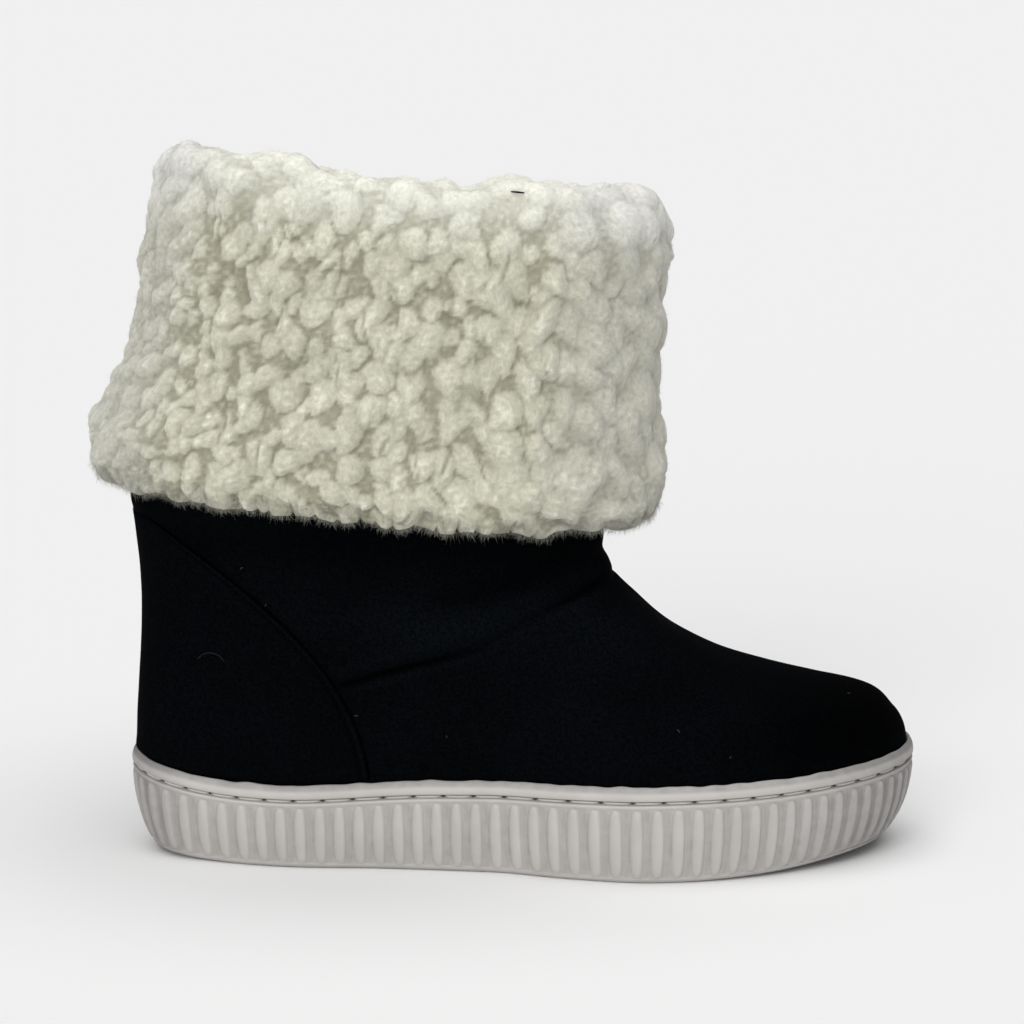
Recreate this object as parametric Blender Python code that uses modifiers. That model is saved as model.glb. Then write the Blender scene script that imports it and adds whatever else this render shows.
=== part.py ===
"""A right boot with a turned-down fleece cuff, on a ribbed cup sole.

The toe points along +X, the outer side of the foot faces -Y, and the sole stands on Z = 0.
The tables and sizes are in millimetres, and the meshes are in metres.
"""

import math
from collections import namedtuple

import bmesh
import bpy
import numpy as np
from mathutils import Matrix

MM = 0.001
GAP = 0.3  # clearance between pieces that touch

# Plan of the sole at its widest line
SOLE_LENGTH = 270.0
HEEL_X = -128.0  # back of the heel, so that the origin lies under the middle of the boot
HEEL_RADIUS = 27.0
TOE_RADIUS = 33.0
TOE_SWING = 5.0  # how far the tip of the toe lies towards the inner side

Plan = namedtuple("Plan", "share outer inner")
PLAN = [
    Plan(0.10, 28.0, 28.0),
    Plan(0.20, 34.3, 33.5),
    Plan(0.33, 36.4, 31.5),
    Plan(0.45, 40.5, 32.5),
    Plan(0.55, 49.0, 37.2),
    Plan(0.65, 54.4, 42.1),
    Plan(0.75, 52.2, 43.9),
    Plan(0.85, 43.9, 39.9),
    Plan(0.94, 30.2, 28.8),
]

# Side of the sole: height of its rim, lift of its underside and how far the lower edge tucks in
Side = namedtuple("Side", "share rim lift tuck")
SIDE = [
    Side(0.00, 36.0, 2.0, 6.5),
    Side(0.05, 33.0, 1.1, 5.8),
    Side(0.10, 30.8, 0.3, 5.2),
    Side(0.15, 29.8, 0.0, 4.8),
    Side(0.20, 29.5, 0.0, 4.4),
    Side(0.40, 32.3, 0.0, 4.2),
    Side(0.65, 33.8, 0.0, 4.2),
    Side(0.80, 34.3, 0.9, 5.0),
    Side(0.92, 35.8, 3.3, 6.8),
    Side(1.00, 37.6, 5.0, 8.4),
]
TUCK_POWER = 2.2  # the side bends in faster towards the floor
FOOT_EDGE = 1.2  # how far the tread's edge lies inside the foot of the side
HEEL_FLOOR = 18.0  # height of the foot bed under the heel
BALL_FLOOR = 12.5  # and under the ball of the foot
FLOOR_FALL = (0.25, 0.65)  # shares of the length between which the foot bed comes down

# Ribs of the side and the stitched rim above them
RIB_PITCH = 6.5
RIB_RELIEF = 1.0
RIB_STEPS = ((0.00, 0.0), (0.11, 1.0), (0.55, 1.0), (0.66, 0.0))  # share of a pitch, share of the relief
# The ribs are a little uneven: how far towards the toe they lie beyond an even spacing, along a side
Shift = namedtuple("Shift", "share ahead")
RIB_SHIFT = [
    Shift(0.00, 0.0),
    Shift(0.05, -1.2),
    Shift(0.18, 1.1),
    Shift(0.28, 2.0),
    Shift(0.47, 2.1),
    Shift(0.66, 5.9),
    Shift(0.72, 6.0),
    Shift(0.82, 5.0),
    Shift(0.91, 3.6),
    Shift(1.00, 0.0),
]
RIB_FOOT = 2.0  # bare strip under the ribs
RIB_HEAD = 7.6  # top of the ribs below the rim
RIB_END = 1.7  # length of a rib's rounded end
RIB_BEND = 0.4  # share of a rib's height where it turns in towards the floor
UPPER_INSET = 2.6  # upper from the widest line, at the rim
FEATHER_INSET = 5.2  # and at its lower edge
Bead = namedtuple("Bead", "below inset")
RIM_BEAD = [
    Bead(6.2, 0.9),
    Bead(5.3, 1.9),
    Bead(4.6, 0.5),
    Bead(2.8, -0.2),
    Bead(1.0, 0.3),
    Bead(0.0, 1.5),
    Bead(0.4, UPPER_INSET - GAP),
]

# Tread slots across the underside
SLOT_WIDTH = 3.0
SLOT_DEPTH = 2.0
SLOT_PITCH = 10.0
SLOT_MARGIN = 7.0  # uncut border of the tread
SLOT_RUNS = ((0.09, 6), (0.50, 10))  # share of the length where a run starts, and its slots

# Sections of the upper from the rim to the fold of the collar, each a tilted cut through the foot
WALL = 2.2
Section = namedtuple("Section", "heel_x heel_z front_x front_z outer inner oval blunt")
SECTIONS = [
    Section(3.0, 41.0, 263.6, 47.4, 50.6, 41.0, 0.04, 2.4),
    Section(3.3, 48.0, 257.4, 53.6, 49.6, 40.5, 0.10, 2.5),
    Section(3.8, 55.0, 245.0, 57.0, 47.6, 40.0, 0.22, 2.7),
    Section(4.4, 63.0, 226.0, 60.0, 44.6, 39.0, 0.38, 2.9),
    Section(5.0, 71.0, 206.0, 66.8, 41.6, 38.2, 0.58, 3.0),
    Section(5.5, 80.0, 188.2, 75.8, 39.2, 37.4, 0.78, 3.0),
    Section(5.7, 89.0, 175.6, 86.4, 38.2, 37.2, 0.92, 2.8),
    Section(5.4, 99.0, 166.4, 96.0, 38.2, 37.6, 1.00, 2.6),
    Section(4.2, 112.0, 163.0, 105.0, 38.8, 38.4, 1.00, 2.4),
    Section(2.4, 133.0, 162.6, 117.0, 39.4, 39.4, 1.00, 2.3),
    Section(11.0, 181.0, 166.0, 167.0, 40.4, 40.4, 1.00, 2.2),
    Section(19.5, 229.0, 170.0, 217.0, 41.4, 41.4, 1.00, 2.2),
]
OVAL_BACK = 2.3  # bluntness of every section's heel end
CUFF_FOOT = 9  # the section at the cuff's lower edge
# Rows of the upper's mesh, counted in sections: closer together over the toe box
UPPER_ROWS = (0, 1, 1.5, 2, 3, 4, 5, 6, 7, 8, CUFF_FOOT, 10, 11)

# Fleece cuff: how far it stands off the shaft at the back, sides and front, up its height
Depth = namedtuple("Depth", "height back side front")
CUFF_DEPTH = [
    Depth(0.00, 11.0, 10.5, 15.5),
    Depth(0.10, 14.5, 13.0, 18.5),
    Depth(0.18, 17.0, 13.5, 19.0),
    Depth(0.28, 13.0, 13.0, 17.0),
    Depth(0.46, 7.5, 12.0, 15.0),
    Depth(0.70, 7.5, 11.5, 13.5),
    Depth(0.88, 8.5, 11.5, 15.0),
    Depth(1.00, 7.5, 10.5, 13.5),
]
CUFF_ROWS = 16
CUFF_TURNS = (35, 70, 105, 140)  # degrees of the rows that roll over the fold
CUFF_TOP = 10.0  # fleece above the fold
CUFF_HANG = 3.5  # fleece below the turned-down edge
CUFF_LINING = 6.0  # fleece inside the collar
LINING_FOOT = 0.72  # height share where the inside turn of the cuff ends
LOCK_RISE = (0.8, 3.4)  # least and greatest rise of a lock
LOCK_SINK = 1.1  # depth of the creases between locks
LOCK_DROOP = 2.2  # how far the tips hang
LOCK_DRIFT = 1.8  # scatter of the locks
LOCK_SEED = 11

# Heel counter: its front edge is a curve from the rim to the back of the collar, seen from the side
COUNTER_THICKNESS = 0.7
COUNTER_GAP = 0.8
COUNTER_EDGE = ((83.5, 31.0), (80.0, 79.0), (5.0, 121.5))  # start, pull and end: x from the heel, height
COUNTER_ROWS = (-0.92, 0, 1, 2, 3, 4.5, 6, 7, 8)  # counted in sections, from just above the rim
COUNTER_COLUMNS = 24

INSOLE_THICKNESS = 5.0
INSOLE_INSET = FEATHER_INSET + WALL + 0.7

COLOURS = {
    "sole": ((0.56, 0.53, 0.50), 0.6),
    "suede": ((0.006, 0.007, 0.009), 0.92),
    "fleece": ((0.80, 0.79, 0.70), 0.95),
    "sock": ((0.72, 0.70, 0.62), 0.95),
}


def curve(shares, values, at):
    """Smooth line through the given values, read at the shares in at. It never swings past a value."""
    shares = np.asarray(shares, float)
    values = np.asarray(values, float)
    at = np.clip(np.asarray(at, float), shares[0], shares[-1])
    steps = np.diff(values) / np.diff(shares)
    before, after = steps[:-1], steps[1:]
    same_way = before * after > 0
    middle = np.where(same_way, 2 * before * after / np.where(same_way, before + after, 1), 0)
    slopes = np.concatenate([steps[:1], middle, steps[-1:]])
    k = np.clip(np.searchsorted(shares, at, side="right") - 1, 0, len(shares) - 2)
    span = shares[k + 1] - shares[k]
    t = (at - shares[k]) / span
    rise = values[k + 1] - values[k]
    from_start = t * (1 - t) ** 2 * span * slopes[k]
    from_end = t**2 * (t - 1) * span * slopes[k + 1]
    return values[k] + rise * t**2 * (3 - 2 * t) + from_start + from_end


def column(rows, name):
    return [getattr(row, name) for row in rows]


def share_at(theta):
    """Share of the length at an angle: 0 is the heel, pi the toe, and the outer side lies between them."""
    return (1 - np.cos(theta)) / 2


def half_width(share, side):
    """Half width of the sole on one side, over the sine of the angle, so that both ends are round."""
    ends = [math.sqrt(radius * SOLE_LENGTH / 2) for radius in (HEEL_RADIUS, TOE_RADIUS)]
    inner = [getattr(row, side) / math.sqrt(4 * row.share * (1 - row.share)) for row in PLAN]
    return curve([0, *column(PLAN, "share"), 1], [ends[0], *inner, ends[1]], share)


def swing(share):
    return TOE_SWING * share**3


def widest_line(theta):
    """Plan of the sole at its widest line."""
    share = share_at(theta)
    half = np.where(np.sin(theta) > 0, half_width(share, "outer"), half_width(share, "inner"))
    return np.stack([HEEL_X + SOLE_LENGTH * share, swing(share) - np.sin(theta) * half], axis=1)


def outline(theta, inset, z):
    """Ring at the widest line, moved in by inset, at heights z."""
    step = 1e-4
    along = widest_line(theta + step) - widest_line(theta - step)
    out = np.stack([along[:, 1], -along[:, 0]], axis=1)
    out /= np.linalg.norm(out, axis=1, keepdims=True)
    plan = widest_line(theta) - out * np.reshape(inset, (-1, 1))
    return np.column_stack([plan, np.broadcast_to(z, len(theta))])


def side_value(theta, name):
    return curve(column(SIDE, "share"), column(SIDE, name), share_at(theta))


def foot_bed(theta):
    """Height of the foot bed, which falls from heel to ball and rises with the toe."""
    start, end = FLOOR_FALL
    t = np.clip((share_at(theta) - start) / (end - start), 0, 1)
    return HEEL_FLOOR + (BALL_FLOOR - HEEL_FLOOR) * t**2 * (3 - 2 * t) + side_value(theta, "lift")


def rib_places(even, length, to_toe):
    """Places along a side of ribs that would be at the even places, on a side that runs to the toe or back."""
    from_heel = even if to_toe else length - even
    ahead = curve(column(RIB_SHIFT, "share"), column(RIB_SHIFT, "ahead"), from_heel / length)
    return even + (ahead if to_toe else -ahead)


def rib_angles():
    """Angles of the ribs' feet along each side, and of every step of the ribs."""
    runs = []
    for start in (0, math.pi):
        theta = np.linspace(start, start + math.pi, 2001)
        hops = np.linalg.norm(np.diff(widest_line(theta), axis=0), axis=1)
        runs.append((theta, np.concatenate([[0], np.cumsum(hops)])))
    count = 2 * round((runs[0][1][-1] + runs[1][1][-1]) / RIB_PITCH / 4)
    feet, steps = [], []
    for theta, run in runs:
        length, to_toe = run[-1], theta[0] == 0
        shares = np.array([k + share for k in range(count) for share, _ in RIB_STEPS]) / count
        feet.append(np.interp(rib_places(length / count * np.arange(count), length, to_toe), run, theta))
        steps.append(np.interp(rib_places(length * shares, length, to_toe), run, theta))
    return np.concatenate(feet), np.concatenate(steps)


def upper_columns(ribs_a_side):
    """Numbers of the ribs whose feet are columns of the upper: every one at heel and toe, every other between."""
    ends = 4
    near = [k for k in range(ribs_a_side) if k % 2 == 0 or k < ends or k > ribs_a_side - ends]
    return near + [ribs_a_side] + [2 * ribs_a_side - k for k in reversed(near) if k > 0]


def section_value(name, row):
    return curve(range(len(SECTIONS)), column(SECTIONS, name), row)


def upper_ring(theta, row):
    """Ring of the upper's outer face at a place between the sections, or between the rim at -1 and the first."""
    if row < 0:
        rim = outline(theta, UPPER_INSET, side_value(theta, "rim"))
        return upper_ring(theta, 0) * (1 + row) - rim * row
    share = share_at(theta)
    heel_x, front_x = section_value("heel_x", row), section_value("front_x", row)
    heel_z, front_z = section_value("heel_z", row), section_value("front_z", row)
    oval, blunt = section_value("oval", row), section_value("blunt", row)
    outer_side = np.sin(theta) > 0
    half = np.where(outer_side, section_value("outer", row), section_value("inner", row))
    widest = np.where(outer_side, max(column(PLAN, "outer")), max(column(PLAN, "inner")))
    sole_half = np.where(outer_side, half_width(share, "outer"), half_width(share, "inner"))
    sole_like = np.abs(np.sin(theta)) * sole_half / widest
    power = np.where(share < 0.5, OVAL_BACK, blunt)
    egg = (1 - np.clip(np.abs(np.cos(theta)), 0, 1) ** power) ** (1 / power)
    across = half * ((1 - oval) * sole_like + oval * egg)
    x = HEEL_X + heel_x + (front_x - heel_x) * share
    y = swing(share) * (1 - oval) - np.sign(np.sin(theta)) * across
    return np.column_stack([x, y, heel_z + (front_z - heel_z) * share])


def ring_normals(theta, row):
    """Outward normals of the upper's face along a ring."""
    step = 1e-3
    along = upper_ring(theta + step, row) - upper_ring(theta - step, row)
    up = upper_ring(theta, row + step) - upper_ring(theta, row - step)
    normal = np.cross(along, up)
    return normal / np.linalg.norm(normal, axis=1, keepdims=True)


def material(name):
    colour, roughness = COLOURS[name]
    made = bpy.data.materials.get(name) or bpy.data.materials.new(name)
    made.use_nodes = True
    shader = made.node_tree.nodes["Principled BSDF"]
    shader.inputs["Base Color"].default_value = (*colour, 1)
    shader.inputs["Roughness"].default_value = roughness
    shader.inputs["Metallic"].default_value = 0
    made.diffuse_color = (*colour, 1)
    return made


def new_object(name, bm, finish, collection):
    if all(len(edge.link_faces) == 2 for edge in bm.edges):
        bmesh.ops.recalc_face_normals(bm, faces=bm.faces)
    mesh = bpy.data.meshes.new(name)
    bm.to_mesh(mesh)
    bm.free()
    mesh.shade_smooth()
    mesh.set_sharp_from_angle(angle=math.radians(40))
    obj = bpy.data.objects.new(name, mesh)
    if finish:
        mesh.materials.append(material(finish))
    collection.objects.link(obj)
    return obj


def add_ring(bm, points):
    return [bm.verts.new(point * MM) for point in points]


def bridge(bm, lower, upper, lower_at=None, upper_at=None):
    """Faces between two rings. Where one has fewer points, its places say which points of the other they face."""
    lower_at = list(range(len(lower))) if lower_at is None else list(lower_at)
    upper_at = list(range(len(upper))) if upper_at is None else list(upper_at)
    coarse = min(lower_at, upper_at, key=len)
    for start, end in zip(coarse, [*coarse[1:], math.inf]):
        below = [v for v, at in zip(lower, lower_at) if start <= at <= end]
        above = [v for v, at in zip(upper, upper_at) if start <= at <= end]
        if end == math.inf:
            below.append(lower[0])
            above.append(upper[0])
        bm.faces.new(below + above[::-1])


def bridge_locks(bm, lower, upper, row):
    """Faces between two rings of locks, folded along the creases so that every tip stands alone."""
    count = len(lower)
    for k in range(count):
        a, b, c, d = lower[k], lower[(k + 1) % count], upper[(k + 1) % count], upper[k]
        halves = ((a, b, d), (b, c, d)) if (k + row) % 2 == 0 else ((a, b, c), (a, c, d))
        for corners in halves:
            bm.faces.new(corners)


def cap(bm, ring):
    """Closes a ring with strips from side to side."""
    count = len(ring)
    for k in range(count // 2):
        corners = [ring[k], ring[k + 1], ring[count - k - 1], ring[-k]]
        bm.faces.new(list(dict.fromkeys(corners)))


def sole_side(theta, z):
    """Inset of the sole's side at height z, between the floor and the groove."""
    lift, rim = side_value(theta, "lift"), side_value(theta, "rim")
    up = np.clip((z - lift) / (rim - RIM_BEAD[0].below - lift), 0, 1)
    return side_value(theta, "tuck") * (1 - up) ** TUCK_POWER


def make_sole(feet, steps, columns, parts, cutters):
    """Cup sole: tread, ribbed side, groove, rim bead and the cup that holds the upper."""
    bm = bmesh.new()
    some = feet[columns]
    lift, rim = side_value(feet, "lift"), side_value(feet, "rim")
    tread_inset = side_value(feet, "tuck") + RIB_RELIEF + FOOT_EDGE
    tread = add_ring(bm, outline(feet, tread_inset, lift))
    cap(bm, tread)

    def base_ring(theta, z, relief=0.0):
        return add_ring(bm, outline(theta, sole_side(theta, z) + RIB_RELIEF - relief, z))

    rib_foot = base_ring(feet, lift + RIB_FOOT)
    bridge(bm, tread, rib_foot)
    relief = RIB_RELIEF * np.array([rise for _, rise in RIB_STEPS] * len(feet))
    steps_lift, steps_rim = side_value(steps, "lift"), side_value(steps, "rim")
    low, high = steps_lift + RIB_FOOT + RIB_END, steps_rim - RIB_HEAD - RIB_END
    ribs = [base_ring(steps, low + (high - low) * up, relief) for up in (0, RIB_BEND, 1)]
    rib_head = base_ring(feet, rim - RIB_HEAD)
    feet_at = [k * len(RIB_STEPS) for k in range(len(feet))]
    bridge(bm, rib_foot, ribs[0], lower_at=feet_at)
    bridge(bm, ribs[0], ribs[1])
    bridge(bm, ribs[1], ribs[2])
    bridge(bm, ribs[2], rib_head, upper_at=feet_at)

    bead = [outline(some, row.inset, side_value(some, "rim") - row.below) for row in RIM_BEAD]
    cup = [*bead, outline(some, FEATHER_INSET - GAP, foot_bed(some))]
    cup = [add_ring(bm, ring) for ring in cup]
    bridge(bm, rib_head, cup[0], upper_at=columns)
    for lower, upper in zip(cup, cup[1:]):
        bridge(bm, lower, upper)
    cap(bm, cup[-1])
    sole = new_object("cup_sole", bm, "sole", parts)

    slots = sole.modifiers.new("tread_slots", "BOOLEAN")
    slots.operation = "DIFFERENCE"
    slots.solver = "EXACT"
    slots.object = make_slots(cutters)
    return sole


def make_slots(cutters):
    """Cutter for the tread: boxes across the heel and the ball of the foot."""
    bm = bmesh.new()
    for first, count in SLOT_RUNS:
        for k in range(count):
            share = first + k * SLOT_PITCH / SOLE_LENGTH
            theta = np.array([math.acos(1 - 2 * share), 2 * math.pi - math.acos(1 - 2 * share)])
            lift, tuck = side_value(theta, "lift"), side_value(theta, "tuck")
            ends = outline(theta, tuck + RIB_RELIEF + SLOT_MARGIN, lift)
            middle = (ends[0] + ends[1]) / 2
            size = (SLOT_WIDTH, ends[1][1] - ends[0][1], 2 * SLOT_DEPTH)
            place = Matrix.Translation(middle * MM) @ Matrix.Diagonal((*[s * MM for s in size], 1))
            bmesh.ops.create_cube(bm, size=1, matrix=place)
    cutter = new_object("tread_slot_cutter", bm, None, cutters)
    cutter.hide_render = True
    cutter.display_type = "WIRE"
    return cutter


def make_upper(theta, parts):
    """Vamp, quarters and shaft as one wall, open below and at the collar."""
    bm = bmesh.new()
    rings = [
        outline(theta, FEATHER_INSET, foot_bed(theta) + GAP),
        outline(theta, UPPER_INSET, side_value(theta, "rim")),
        *[upper_ring(theta, row) for row in UPPER_ROWS],
    ]
    rings = [add_ring(bm, ring) for ring in rings]
    for lower, upper in zip(rings, rings[1:]):
        bridge(bm, lower, upper)
    obj = new_object("upper", bm, "suede", parts)
    wall = obj.modifiers.new("wall", "SOLIDIFY")
    wall.thickness = WALL * MM
    wall.offset = -1
    return obj


def make_counter(parts):
    """Heel counter: a panel over the upper, cut from the same sections by its front edge."""
    (x0, z0), (x1, z1), (x2, z2) = COUNTER_EDGE
    t = np.linspace(0, 1, 101)
    edge_x = x0 * (1 - t) ** 2 + 2 * x1 * t * (1 - t) + x2 * t**2
    edge_z = z0 * (1 - t) ** 2 + 2 * z1 * t * (1 - t) + z2 * t**2
    grid = []
    for row in COUNTER_ROWS:
        theta = np.linspace(0.02, math.pi / 2, 400)
        ring = upper_ring(theta, row)
        past = ring[:, 0] - HEEL_X > np.interp(ring[:, 2], edge_z, edge_x)
        reach = theta[np.argmax(past)]
        spread = reach * np.linspace(-1, 1, COUNTER_COLUMNS + 1) % (2 * math.pi)
        grid.append(upper_ring(spread, row) + ring_normals(spread, row) * COUNTER_GAP)
    bm = bmesh.new()
    rows = [add_ring(bm, points) for points in grid]
    for lower, upper in zip(rows, rows[1:]):
        for k in range(COUNTER_COLUMNS):
            bm.faces.new([lower[k], lower[k + 1], upper[k + 1], upper[k]])
    obj = new_object("heel_counter", bm, "suede", parts)
    skin = obj.modifiers.new("skin", "SOLIDIFY")
    skin.thickness = COUNTER_THICKNESS * MM
    skin.offset = 1
    return obj


def cuff_depth(theta, height):
    """How far the cuff stands off the shaft."""
    heights = column(CUFF_DEPTH, "height")
    back, side, front = (
        curve(heights, column(CUFF_DEPTH, name), np.full(theta.shape, height))
        for name in ("back", "side", "front")
    )
    end = np.abs(np.cos(theta)) ** 3
    return side + end * (np.where(np.cos(theta) > 0, back, front) - side)


def cuff_ring(theta, height, off, up=0.0):
    """Ring round the shaft at a share of the cuff's height, standing off level from it."""
    last = len(SECTIONS) - 1
    row = CUFF_FOOT + (last - CUFF_FOOT) * height
    level = ring_normals(theta, min(row, last - 0.01)) * np.array([1, 1, 0])
    level /= np.linalg.norm(level, axis=1, keepdims=True)
    points = upper_ring(theta, row) + level * np.reshape(off, (-1, 1))
    points[:, 2] += up
    return points, level


def lock_ring(rng, points, level, row):
    """The ring with every other point raised to the drooping tip of a lock, and the rest sunk to the creases."""
    count = len(points)
    tip = (np.arange(count) + row) % 2 == 0
    rise = np.where(tip, rng.uniform(*LOCK_RISE, count), -LOCK_SINK)
    along = np.stack([-level[:, 1], level[:, 0], np.zeros(count)], axis=1)
    drift = rng.uniform(-LOCK_DRIFT, LOCK_DRIFT, (2, count, 1))
    droop = drift[1] - LOCK_DROOP * tip[:, None]
    return points + level * rise[:, None] + along * drift[0] + droop * np.array([0, 0, 1])


def make_cuff(theta, parts):
    """Turned-down fleece: locks outside, a roll over the fold and a short turn inside the collar."""
    rng = np.random.default_rng(LOCK_SEED)
    bm = bmesh.new()
    heights = np.linspace(0, 1, CUFF_ROWS)
    outside = [cuff_ring(theta, height, cuff_depth(theta, height)) for height in heights]
    inside = -(WALL + GAP)
    lining = inside - CUFF_LINING
    outer = cuff_depth(theta, 1.0)
    for turn in np.radians(CUFF_TURNS):
        off = (outer + lining) / 2 + math.cos(turn) * (outer - lining) / 2
        outside.append(cuff_ring(theta, 1.0, off, CUFF_TOP * math.sin(turn)))
    locks = [add_ring(bm, lock_ring(rng, *ring, row)) for row, ring in enumerate(outside)]
    for row, (lower, upper) in enumerate(zip(locks, locks[1:])):
        bridge_locks(bm, lower, upper, row)

    fringe = cuff_ring(theta, 0.0, GAP + CUFF_LINING / 2, -CUFF_HANG)[0]
    fringe[::2, 2] -= rng.uniform(0, CUFF_HANG, len(fringe[::2]))
    folds = [
        cuff_ring(theta, 1.0, lining)[0],
        cuff_ring(theta, (1 + LINING_FOOT) / 2, lining)[0],
        cuff_ring(theta, LINING_FOOT, lining)[0],
        cuff_ring(theta, LINING_FOOT - 0.02, inside - CUFF_LINING / 3)[0],
        cuff_ring(theta, LINING_FOOT, inside)[0],
        cuff_ring(theta, 1.0, inside, GAP)[0],
        cuff_ring(theta, 1.0, GAP, GAP)[0],
        cuff_ring(theta, 0.5, GAP)[0],
        cuff_ring(theta, 0.0, GAP)[0],
        fringe,
    ]
    rings = [locks[-1], *[add_ring(bm, ring) for ring in folds], locks[0]]
    for lower, upper in zip(rings, rings[1:]):
        bridge(bm, lower, upper)
    return new_object("fleece_cuff", bm, "fleece", parts)


def make_insole(theta, parts):
    bm = bmesh.new()
    under = add_ring(bm, outline(theta, INSOLE_INSET, foot_bed(theta) + GAP))
    over = add_ring(bm, outline(theta, INSOLE_INSET, foot_bed(theta) + GAP + INSOLE_THICKNESS))
    bridge(bm, under, over)
    cap(bm, under)
    cap(bm, over)
    return new_object("insole", bm, "sock", parts)


def clear_scene():
    for obj in list(bpy.data.objects):
        bpy.data.objects.remove(obj)


def new_collection(name):
    made = bpy.data.collections.new(name)
    bpy.context.scene.collection.children.link(made)
    return made


def main():
    clear_scene()
    parts, cutters = new_collection("lined_boot"), new_collection("cutters")
    feet, steps = rib_angles()
    columns = upper_columns(len(feet) // 2)
    some = feet[columns]
    make_sole(feet, steps, columns, parts, cutters)
    make_upper(some, parts)
    make_counter(parts)
    make_cuff(some, parts)
    make_insole(some, parts)
    stand = bpy.data.objects.new("boot", None)
    parts.objects.link(stand)
    for obj in list(parts.objects):
        if obj is not stand:
            obj.parent = stand


main()
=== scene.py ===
"""Looks of the right boot: ribbed cup sole, black nubuck upper and turned-down fleece cuff.

The toe points along +X, the outer side of the foot faces -Y, and the sole stands on Z = 0.
The tables and sizes are in millimetres, and the meshes are in metres. Round the boot the angle theta is 0 at
the heel and pi at the toe, with the outer side between them.
"""

import math
from collections import namedtuple

import bpy
import numpy as np
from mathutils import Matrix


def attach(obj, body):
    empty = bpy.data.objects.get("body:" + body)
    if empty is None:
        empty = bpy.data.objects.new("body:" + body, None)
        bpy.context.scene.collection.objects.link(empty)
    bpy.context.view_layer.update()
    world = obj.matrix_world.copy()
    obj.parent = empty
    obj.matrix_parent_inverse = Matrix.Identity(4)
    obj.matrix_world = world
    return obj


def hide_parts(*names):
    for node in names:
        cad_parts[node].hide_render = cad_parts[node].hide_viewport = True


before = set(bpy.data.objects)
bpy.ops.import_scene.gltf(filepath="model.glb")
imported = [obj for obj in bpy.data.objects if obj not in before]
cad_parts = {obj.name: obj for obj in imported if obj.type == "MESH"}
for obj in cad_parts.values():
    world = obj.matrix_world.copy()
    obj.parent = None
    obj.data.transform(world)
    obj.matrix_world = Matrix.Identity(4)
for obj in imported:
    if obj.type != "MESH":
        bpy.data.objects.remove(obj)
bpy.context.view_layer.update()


def table(columns, *rows):
    """Rows of values with named columns."""
    kind = namedtuple("Row", columns)
    return [kind(*row) for row in rows]


MM = 0.001
GAP = 0.3  # clearance between pieces that touch
UP = np.array([0.0, 0.0, 1.0])
TURN = 2 * math.pi
RUN_SAMPLES = 2001  # places at which a closed line is measured
STEP = 1e-3  # for slopes, in sections or radians

# Plan of the sole at its widest line, as in the solids
SOLE_LENGTH = 270.0
HEEL_X = -128.0
HEEL_RADIUS = 27.0
TOE_RADIUS = 33.0
TOE_SWING = 5.0
PLAN = table(
    "share outer inner",
    (0.10, 28.0, 28.0),
    (0.20, 34.3, 33.5),
    (0.33, 36.4, 31.5),
    (0.45, 40.5, 32.5),
    (0.55, 49.0, 37.2),
    (0.65, 54.4, 42.1),
    (0.75, 52.2, 43.9),
    (0.85, 43.9, 39.9),
    (0.94, 30.2, 28.8),
)

# Side of the sole: height of its rim, lift of its underside and how far the lower edge tucks in
SIDE = table(
    "share rim lift tuck",
    (0.00, 36.0, 2.0, 6.5),
    (0.05, 33.0, 1.1, 5.8),
    (0.10, 30.8, 0.3, 5.2),
    (0.15, 29.8, 0.0, 4.8),
    (0.20, 29.5, 0.0, 4.4),
    (0.40, 32.3, 0.0, 4.2),
    (0.65, 33.8, 0.0, 4.2),
    (0.80, 34.3, 0.9, 5.0),
    (0.92, 35.8, 3.3, 6.8),
    (1.00, 37.6, 5.0, 8.4),
)
SIDE_TOP = 6.2  # the tuck ends this far below the rim
TUCK_POWER = 2.2
FOOT_EDGE = 1.2
HEEL_FLOOR = 18.0
BALL_FLOOR = 12.5
FLOOR_FALL = (0.25, 0.65)

# Ribs of the side
RIB_PITCH = 6.5
RIB_RELIEF = 1.0
RIB_WIDTH = 0.66  # share of a pitch
# Columns of the mesh in a pitch
RIB_PLACES = (0.0, 0.04, 0.08, 0.14, 0.24, 0.36, 0.48, 0.57, 0.62, 0.66, 0.75, 0.9)
RIB_SHIFT = table(
    "share ahead",
    (0.00, 0.0), (0.05, -1.2), (0.18, 1.1), (0.28, 2.0), (0.47, 2.1),
    (0.66, 5.9), (0.72, 6.0), (0.82, 5.0), (0.91, 3.6), (1.00, 0.0),
)
RIB_FOOT = 2.0
RIB_HEAD = 7.6
RIB_ROUND = 2.4  # length of a rib's rounded head
RIB_FADE = 5.0  # and of its foot
RIB_END = 0.2  # share of the relief left at a rib's ends
RIB_TIP = 0.02  # and of the width
RIB_SPINDLE = 0.26  # how much narrower a rib is near its ends than in the middle
RIB_LEAN = 0.15  # how much prouder its edge towards the toe is
RIB_POWERS = (3, 0.6)  # roundness of its section
RIB_END_ROWS = np.array([0.0, 0.3, 0.7, 1.2, 1.8, 2.5])  # rows of the mesh from each end of a rib
RIB_MIDDLE_ROWS = 5
EDGE_ROWS = 5

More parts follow.
